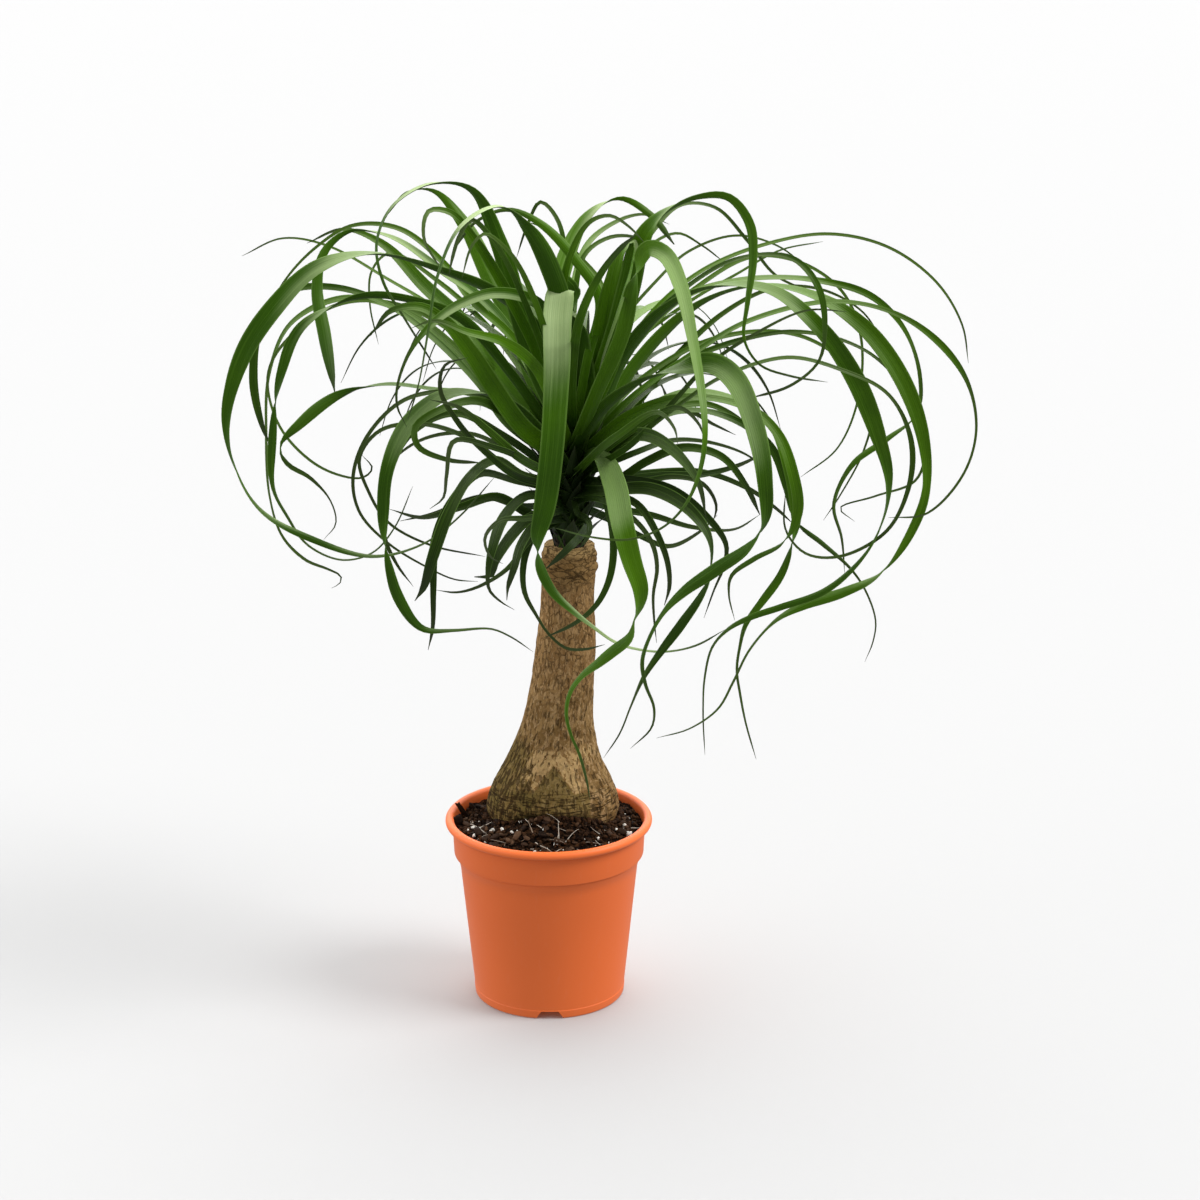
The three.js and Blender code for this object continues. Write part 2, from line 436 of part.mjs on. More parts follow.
function potGeometry() {
  const turned = new THREE.LatheGeometry(potProfile(), POT.sides);
  turned.rotateX(Math.PI / 2);
  let pot = toManifold(turned);
  for (let index = 0; index < NOTCH.count; index += 1) {
    pot = pot.subtract(notchCutter((index / NOTCH.count) * Math.PI * 2));
  }
  for (let index = 0; index < DRAIN.count; index += 1) {
    pot = pot.subtract(drainCutter(((index + 0.5) / DRAIN.count) * Math.PI * 2));
  }
  return toGeometry(pot);
}

// Trunk with its bulb, neck and thick roots
function trunkAxis(z) {
  const lean = smoothstep(z, TRUNK_LEAN.from, TRUNK_LEAN.to);
  const neck = TRUNK_LEAN.neckSlope * Math.max(0, z - TRUNK_LEAN.to);
  const x = TRUNK_LEAN.foot + TRUNK_LEAN.shift * lean + neck;
  return new THREE.Vector3(x, TRUNK_LEAN.back * (1 - lean), z);
}

function trunkRing([z, radius], grow) {
  const depth = 1 - BULB_FLATTEN.share * (1 - smoothstep(z, BULB_FLATTEN.from, BULB_FLATTEN.to));
  const halfWidth = (angle) => {
    const lobe = TRUNK_RIPPLE.lobeShare * Math.sin(TRUNK_RIPPLE.lobes * angle + z / 31);
    const rib = TRUNK_RIPPLE.ribShare * Math.sin(TRUNK_RIPPLE.ribs * angle - z / 23);
    return radius * (1 + lobe + rib) + grow / depth;
  };
  return ringAround(trunkAxis(z), z, TRUNK_SIDES, halfWidth, depth);
}

function trunkBody(grow) {
  const rings = TRUNK_PROFILE.map((row) => trunkRing(row, grow));
  rings[0].forEach((point) => { point.z -= grow; });
  rings[rings.length - 1].forEach((point) => { point.z += grow; });
  return ringBody(rings);
}

// One thick root, from its tip up into the foot of the bulb
function rootSolid(index) {
  const rings = [];
  for (let step = 0; step <= ROOT.steps; step += 1) {
    const t = step / ROOT.steps;
    const away = ROOT.ring + ROOT.spread * Math.sin(t * 2.2 + index);
    const turn = (index / ROOT.count) * Math.PI * 2 + ROOT.wander * Math.sin(t * 3 + index * 2);
    const centre = trunkAxis(ROOT.foot);
    centre.x += away * Math.cos(turn);
    centre.y += away * Math.sin(turn);
    const radius = ROOT.thin + (ROOT.thick - ROOT.thin) * t;
    rings.push(ringAround(centre, ROOT.foot + (ROOT.head - ROOT.foot) * t, ROOT.sides, () => radius));
  }
  return ringBody(rings);
}

function trunkSolid() {
  const roots = Array.from({ length: ROOT.count }, (_, index) => rootSolid(index));
  return fused([trunkBody(0), ...roots]);
}

// Potting mix, heaped against the front of the bulb
function soilHeight(x, y) {
  const acrossMound = (x - SOIL.moundX) / SOIL.moundWide;
  const alongMound = (y - SOIL.moundY) / SOIL.moundDeep;
  const mound = SOIL.moundHeight * Math.exp(-acrossMound * acrossMound - alongMound * alongMound);
  const lumps = Math.sin(x / 4.1 + y / 9.3) + Math.sin(y / 3.7 - x / 7.9) + Math.sin((x + y) / 5.3);
  return SOIL.level + mound + (SOIL.lump * lumps) / 2;
}

function soilWallRing([radius, z]) {
  return ringAround(new THREE.Vector3(), z, SOIL_SIDES, () => radius);
}

function soilTopRing(radius) {
  const ring = soilWallRing([radius, 0]);
  ring.forEach((point) => { point.z = soilHeight(point.x, point.y); });
  return ring;
}

function rootWellSolid() {
  const { radius, foot, head } = ROOT_WELL;
  return ringBody([foot, head].map((z) => ringAround(trunkAxis(foot), z, TRUNK_SIDES, () => radius)));
}

function soilGeometry() {
  const plate = POT.channelHeight + POT.floor + GAP;
  const flat = Math.cos(Math.PI / POT.sides);
  const insideOf = (outer) => (outer - POT.wall) * flat - GAP;
  const wallRings = [
    [POT.channelInner - POT.step, POT.floor + GAP],
    [POT.channelInner + 1, plate],
    [insideOf(POT.footRadius), plate],
    [insideOf(POT.footRadius + POT.footFlare), plate + POT.step],
    [insideOf(POT.shoulderRadius), POT.shoulderZ + 1],
    [insideOf(POT.collarRadius), POT.collarZ + POT.step],
  ].map(soilWallRing);
  const topRings = [insideOf(POT.collarTopRadius), ...SOIL_RINGS].map(soilTopRing);
  const mix = ringBody([...wallRings, ...topRings]);
  return toGeometry(mix.subtract(trunkBody(GAP)).subtract(rootWellSolid()));
}

// Leaves
function lifted([x, z], near) {
  const toward = near / -VIEWER.y;
  return new THREE.Vector3(x, 0, z).lerp(VIEWER, toward);
}

function tracedLeaf([, footZ, nears, widths, route]) {
  const board = route.map(([x, z]) => new THREE.Vector2(x, z));
  const along = [0];
  for (let index = 1; index < board.length; index += 1) {
    along.push(along[index - 1] + board[index].distanceTo(board[index - 1]));
  }
  const total = along[along.length - 1];
  const aside = Math.max(...route.map(([x]) => Math.abs(x - CROWN.centreX))) / CROWN.reach;
  const stretch = CROWN.leastStretch + CROWN.moreStretch * Math.sqrt(Math.max(0, 1 - aside ** 2));
  const points = route.map((point, index) => lifted(point, stretch * spread(nears, along[index] / total)));
  return { points: [trunkAxis(footZ), ...points], widths, facing: (point) => VIEWER.clone().sub(point) };
}

// A leaf that arches over by a rule, for the back and the inside of the crown
function archedLeaf(draw, index) {
  const heading = Math.PI * (0.5 + ARCHED.fan * Math.sin(index * ARCHED.goldenTurn));
  const stride = (ARCHED.length + ARCHED.moreLength * draw()) / ARCHED.steps;
  const rise = ARCHED.rise - ARCHED.lessRise * draw();
  const droop = rise + ARCHED.droop + ARCHED.moreDroop * draw();
  const sway = ARCHED.sway * (draw() - 0.5);
  const points = [trunkAxis(ARCHED.foot + ARCHED.moreFoot * draw())];
  for (let step = 1; step <= ARCHED.steps; step += 1) {
    const t = (step - 0.5) / ARCHED.steps;
    const slope = rise - droop * t ** ARCHED.droopPower;
    const turn = heading + sway * t;
    const flat = stride * Math.cos(slope);
    const stretch = new THREE.Vector3(flat * Math.cos(turn), flat * Math.sin(turn), stride * Math.sin(slope));
    points.push(points[step - 1].clone().add(stretch));
  }
  const aside = new THREE.Vector3(-Math.sin(heading), Math.cos(heading), 0);
  const broad = ARCHED.broad + ARCHED.moreBroad * draw();
  const tilt = ARCHED.tilt * broad * (draw() - 0.5);
  return { points, broad, widths: [tilt, tilt, tilt / 2, 0], facing: () => aside.clone() };
}

// Close rows along a leaf. The turn is the one about the tangent, away from the direction that faces the
// viewer, and the upper face is the one that looks up at the top of the arch.
function fineRows(leaf) {
  const curve = new THREE.CatmullRomCurve3(leaf.points, false, "centripetal");
  const hidden = leaf.points[1].distanceTo(leaf.points[0]) / curve.getLength();
  const broad = leaf.broad ?? BLADE.swell * Math.max(...leaf.widths.map(Math.abs));
  const rows = Array.from({ length: ROWS.samples + 1 }, (_, index) => {
    const t = index / ROWS.samples;
    const centre = curve.getPointAt(t);
    const tangent = curve.getTangentAt(t);
    const seen = spread(leaf.widths, (t - hidden) / (1 - hidden));
    const width = Math.max(Math.abs(seen), broad * (1 - t) ** BLADE.taper, BLADE.minWidth);
    const front = leaf.facing(centre);
    front.addScaledVector(tangent, -front.dot(tangent)).normalize();
    const across = new THREE.Vector3().crossVectors(tangent, front);
    const turn = Math.acos(clamp(seen / width, -1, 1));
    return { centre, tangent, front, across, width, turn };
  });
  const top = rows.reduce((best, row) => (row.centre.z > best.centre.z ? row : best));
  const upper = top.across.z < 0 ? -1 : 1;
  rows.forEach((row) => {
    const sideways = upper * Math.sin(row.turn);
    row.normal = row.front.multiplyScalar(Math.cos(row.turn)).addScaledVector(row.across, sideways);
  });
  return rows;
}

// The rows that the solid keeps: closer where the leaf bends or twists
function leafRows(leaf) {
  const fine = fineRows(leaf);
  const cost = [0];
  for (let index = 1; index < fine.length; index += 1) {
    const [row, before] = [fine[index], fine[index - 1]];
    const step = row.centre.distanceTo(before.centre) / ROWS.length;
    const bend = row.tangent.angleTo(before.tangent) / ROWS.bend;
    const twist = Math.abs(row.turn - before.turn) / ROWS.twist;
    cost.push(cost[index - 1] + step + bend + twist);
  }
  const total = cost[cost.length - 1];
  const count = Math.max(ROWS.least, Math.round(total));
  return Array.from({ length: count + 1 }, (_, row) => {
    const reached = cost.findIndex((value) => value >= (total * row) / count - 1e-9);
    return fine[reached];
  });
}

// A channelled blade: left edge, upper fold, right edge and lower fold in each row
function leafSolid(leaf) {
  const rows = leafRows(leaf);
  const rings = rows.map(({ centre, tangent, normal, width }, index) => {
    const before = rows[Math.max(0, index - 1)];
    const after = rows[Math.min(rows.length - 1, index + 1)];
    const side = new THREE.Vector3().crossVectors(tangent, normal).normalize();
    const span = after.centre.distanceTo(before.centre);
    const sideBend = Math.abs(after.tangent.clone().sub(before.tangent).dot(side)) / span;
    const half = Math.min(width / 2, BLADE.tightest / Math.max(sideBend, 1e-6));
    const rim = centre.clone().addScaledVector(normal, half * BLADE.channel);
    const fold = BLADE.thickness / 2;
    return [
      rim.clone().addScaledVector(side, -half),
      centre.clone().addScaledVector(normal, -fold),
      rim.clone().addScaledVector(side, half),
      centre.clone().addScaledVector(normal, fold),
    ];
  });
  return bladeBody(rings);
}

// Rows of four points joined with the triangles split alike on the upper and lower face
function bladeBody(rings) {
  const triangles = [];
  for (let row = 0; row + 1 < rings.length; row += 1) {
    const [left, under, right, over] = [0, 1, 2, 3].map((corner) => row * 4 + corner);
    const [left2, under2, right2, over2] = [left + 4, under + 4, right + 4, over + 4];
    triangles.push(left, under2, under, left, left2, under2);
    triangles.push(under, under2, right, right, under2, right2);
    triangles.push(right, over2, over, right, right2, over2);
    triangles.push(over, over2, left, left, over2, left2);
  }
  const last = (rings.length - 1) * 4;
  triangles.push(0, 1, 3, 1, 2, 3);
  triangles.push(last, last + 3, last + 1, last + 1, last + 3, last + 2);
  return solidFrom(coordinates(rings), triangles);
}

function stemTipSolid() {
  return ringBody(STEM_TIP.map(([above, radius]) => {
    const axis = trunkAxis(TRUNK_TOP + above);
    return ringAround(axis, axis.z, STEM_TIP_SIDES, () => radius);
  }));
}

function crownGeometry() {
  const draw = seededDraw(ARCHED.seed);
  const leaves = LEAVES.map(tracedLeaf);
  for (let index = 0; index < ARCHED.count; index += 1) {
    leaves.push(archedLeaf(draw, index));
  }
  return toGeometry(fused([stemTipSolid(), ...leaves.map(leafSolid)]));
}

// Assembly
function piece(name, geometry, material) {
  const mesh = new THREE.Mesh(geometry, material);
  mesh.name = name;
  return mesh;
}

const palm = new THREE.Group();
palm.add(piece("pot", potGeometry(), POT_PLASTIC));
palm.add(piece("potting_mix", soilGeometry(), POTTING_MIX));
palm.add(piece("trunk", toGeometry(trunkSolid()), BARK));
palm.add(piece("leaf_crown", crownGeometry(), LEAF));

export default palm;
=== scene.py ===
"""Potted ponytail palm: nursery pot, potting mix, barked trunk and a crown of strap leaves."""
import math
from itertools import product

import bpy
import numpy as np
from bpy.props import FloatProperty, FloatVectorProperty, IntProperty, PointerProperty
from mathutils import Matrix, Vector


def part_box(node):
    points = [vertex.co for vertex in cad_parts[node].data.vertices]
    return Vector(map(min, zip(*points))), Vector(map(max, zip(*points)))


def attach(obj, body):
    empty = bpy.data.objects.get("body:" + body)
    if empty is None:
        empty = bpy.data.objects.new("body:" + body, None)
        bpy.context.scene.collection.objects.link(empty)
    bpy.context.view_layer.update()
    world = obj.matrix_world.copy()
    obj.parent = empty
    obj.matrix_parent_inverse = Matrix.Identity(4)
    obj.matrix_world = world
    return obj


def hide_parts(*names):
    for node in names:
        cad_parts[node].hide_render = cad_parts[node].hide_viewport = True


bl_info = {
    "name": "Potted Ponytail Palm",
    "version": (1, 0, 0),
    "blender": (4, 5, 0),
    "location": "View3D > Sidebar > Palm",
    "description": "Models a ponytail palm in a nursery pot, with its bark, potting mix and leaves",
    "category": "Add Mesh",
}

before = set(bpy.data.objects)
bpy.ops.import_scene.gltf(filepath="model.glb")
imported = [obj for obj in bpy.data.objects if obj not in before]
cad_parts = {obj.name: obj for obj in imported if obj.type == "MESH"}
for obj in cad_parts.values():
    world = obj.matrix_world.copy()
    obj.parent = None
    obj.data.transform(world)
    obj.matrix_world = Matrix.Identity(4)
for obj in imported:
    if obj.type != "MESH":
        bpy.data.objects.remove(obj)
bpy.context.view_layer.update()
POT_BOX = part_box("pot")

# Lengths in this file are millimetres unless they are a property, and objects are made in metres
MM = 0.001

# Pot outline: [radius, height] of each corner, and how far the corner is rounded
POT_OUTSIDE = [
    (0, 0, 0), (36.5, 0, 1), (39.5, 6, 1), (54.5, 6, 1), (56, 0, 0.8), (60.8, 0, 0.6),
    (61.9, 1.1, 0.6), (62.5, 7, 0.2), (62.15, 7.5, 0.2), (73.2, 115.5, 5),
    (75.8, 122.4, 1), (75.8, 124.3, 0.1), (78, 124.6, 0.3), (79.2, 147, 0),
]
POT_INSIDE = [
    (77.5, 147, 0), (76.3, 125.5, 2), (71.5, 116.5, 3), (60.2, 8.9, 1), (59.1, 7.8, 0.5),
    (41, 7.8, 1), (38, 1.8, 1), (0, 1.8, 0),
]
LIP = {"ring": 81.5, "radius": 3.5, "height": 152, "start": -130, "end": 165, "steps": 22}
POT_WIDTH = 170
POT_HEIGHT = 155.5
POT_SIDES = 180
POT_CREASE = 32
NOTCH = {"count": 3, "bottom": 23, "top": 14, "height": 7, "ring": 56, "reach": 12}
DRAIN = {"count": 6, "radius": 4, "ring": 47.5, "height": 6.9, "reach": 3.6}

# Potting mix: its level and heap, its wall as [radius, height], and its clods and crumbs
SOIL = {
    "level": 148, "mound": 14, "x": 4, "y": -30, "wide": 42, "deep": 24, "lump": 1.1, "collar": 3.5,
    "collar_width": 6,
}
SOIL_WALL = [(36.5, 2.2), (39, 8.2), (58.6, 8.2), (71, 116.5), (75.6, 126)]
SOIL_EDGE = 76.9
CLODS = {
    "size": (11, 9, 99), "rise": 2.4, "crumb_size": (3.6, 3.2, 99), "crumb_rise": 1.3, "grit_size": 2.2,
    "grit_rise": 0.5, "sunk": 1.4,
}

# Loose bits of the mix: the least size and how much more, how flat they are, and their distance from the wall
MIX_SEED = 2024
CRUMB = {"least": 0.7, "more": 1.7, "flat": 0.7, "edge": 1.5, "near": 5}
CHIP = {"least": 1.6, "more": 2.6, "flat": 0.3, "edge": 5}
GRAIN = {
    "least": 0.6, "more": 0.9, "flat": 0.75, "edge": 2, "colours": [(0.72, 0.68, 0.6), (0.8, 0.78, 0.72)],
}
FIBRE = {
    "least": 5, "more": 16, "edge": 8, "rise": 0.25, "colours": [(0.2, 0.13, 0.08), (0.62, 0.56, 0.47)],
}

# Half width of the bulb where it comes out of the mix
BULB_AT_MIX = 52

# Trunk: [height, half width] from the buried foot of the bulb to the top of the neck
TRUNK_PROFILE = [
    (110, 12), (114, 22), (122, 34), (134, 44), (147, 50.5), (157, 54), (166, 53.2), (183, 47.2),
    (200, 39), (217, 33.2), (238, 28.2), (260, 26), (283, 24.5), (305, 23.7), (327, 21.9), (349, 20.8),
    (364, 21.4), (371, 22.2), (380, 21), (388, 19.4),
]
TRUNK_LEAN = {"foot": 4.2, "shift": 12, "start": 186, "end": 338, "back": 12, "neck": 0.03}
BULB_FLATTEN = {"share": 0.2, "start": 170, "end": 260}

# Bark. A pair is where a part of it starts to change and where the change ends: heights, places across the
# trunk, or for the cave, how squarely the bark faces the viewer
BARK = {
    "neck_girth": 22, "widening": 0.4, "proud": 0.3, "buried": (128, 145), "bulb": (195, 250),
    "neck": (235, 300), "top": (353, 366), "cap": (380, 386), "cracked": (172, 192), "cave": (0.72, 0.97),
    "cave_top": (158, 170), "cave_depth": 5.0,
}
BULB_FRONT = {
    "x": 4, "arch_height": 181, "arch_slope": 0.7, "arch": (15, 21), "foot": (179, 187),
    "foot_sides": (24, 36), "right": (12, 28), "golden": (160, 180), "golden_drop": 14,
    "golden_end": (207, 228), "golden_left": (-24, -8), "golden_right": (28, 46), "olive_end": (190, 240),
    "mossy_left": (2, 24), "mossy_right": (22, 42), "mossy_end": (200, 245),
}

# Leaf blades: the shape of their section, their tips and feet, their waves, and how far the painted sheen at
# the top of a blade's arch reaches, as a share of its length
BLADE = {
    "swell": 1.1, "least": 0.9, "taper": 0.8, "tightest": 0.75, "fold": 1.2, "painted_sheen": 0.2, "tip": 14,
    "flare": 0.5, "flare_end": 22, "wave": 17, "wave_rise": 0.06, "thin_rim": 0.72,
}

# The pieces that the broad leaves go to: name, and the heights that their feet start from and stay below
LEAF_GROUPS = [
    ("crown_tall_leaves", 462, 999), ("crown_side_leaves", 446, 462), ("crown_skirt_leaves", 0, 446),
]

# How young a leaf looks, from 0 to 1, where the height of its foot doesn't tell
LEAF_YOUTH = {
    "front long leaf": 0.97, "front twisted leaf": 0.66, "left sickle": 0.64, "right band": 0.62,
    "right long strand": 0.68,
}

# The leaves of the back and the inside, which arch over by a rule, and the short bases between the leaves
ARCHED = {
    "count": 24, "seed": 4711, "steps": 9, "golden": 2.39996, "fan": 0.22, "length": 250,
    "more_length": 120, "foot": 412, "more_foot": 60, "rise": 1.42, "less_rise": 0.45, "droop": 0.9,
    "more_droop": 0.5, "power": 1.05, "sway": 0.5, "broad": 9, "more_broad": 6, "tilt": 0.5,
}
SHEATHS = {
    "count": 60, "seed": 611, "low": 380, "high": 476, "length": 40, "more_length": 66, "lean": 0.75,
    "broad": 14,
}

# The stem tip: [height, half width], and the stubs of old leaves round its foot
STEM_TIP = [(383, 12.5), (392, 11.5), (410, 11), (450, 10), (490, 6), (505, 2)]
STUBS = {
    "count": 48, "seed": 77, "low": 384, "spread": 16, "length": 6, "more_length": 9, "broad": 6,
    "colours": [(0.006, 0.005, 0.004), (0.05, 0.035, 0.018), (0.12, 0.09, 0.05)],
}

# Widths seen of a blade that stands edge on
EDGE_ON = [0.1, 0.1]

# Colours of the shade painted in the hollows of the mix and in the cave between the mix and the bulb
HOLLOW_SHADE_COLOUR = (0.003, 0.002, 0.0015)
CAVE_SHADE_COLOUR = (0.012, 0.008, 0.004)

# The heart of the crown, as an egg shape, where shade is painted on the leaves, and the side that the sky's
# light comes from
HEART_SHADE = {"centre": (14, 6, 440), "size": (62, 62, 56), "dark": 0.4, "light": 1.7}
SKY = (0.2, 0.05, 1.0)

# The routes of the leaves are read on the upright plane through the trunk, as [across, up], from where
# the plant is looked at. A leaf stands off that plane toward the viewer by its nears, which are spread
# evenly over its route, as its widths are. A width is the width seen, and negative where the underside
# shows.
VIEWER = np.array([0.0, -2600.0, 1187.0])
CROWN = {"x": 18, "reach": 285, "least": 0.9, "more": 1.5, "oldest": 412, "span": 64}

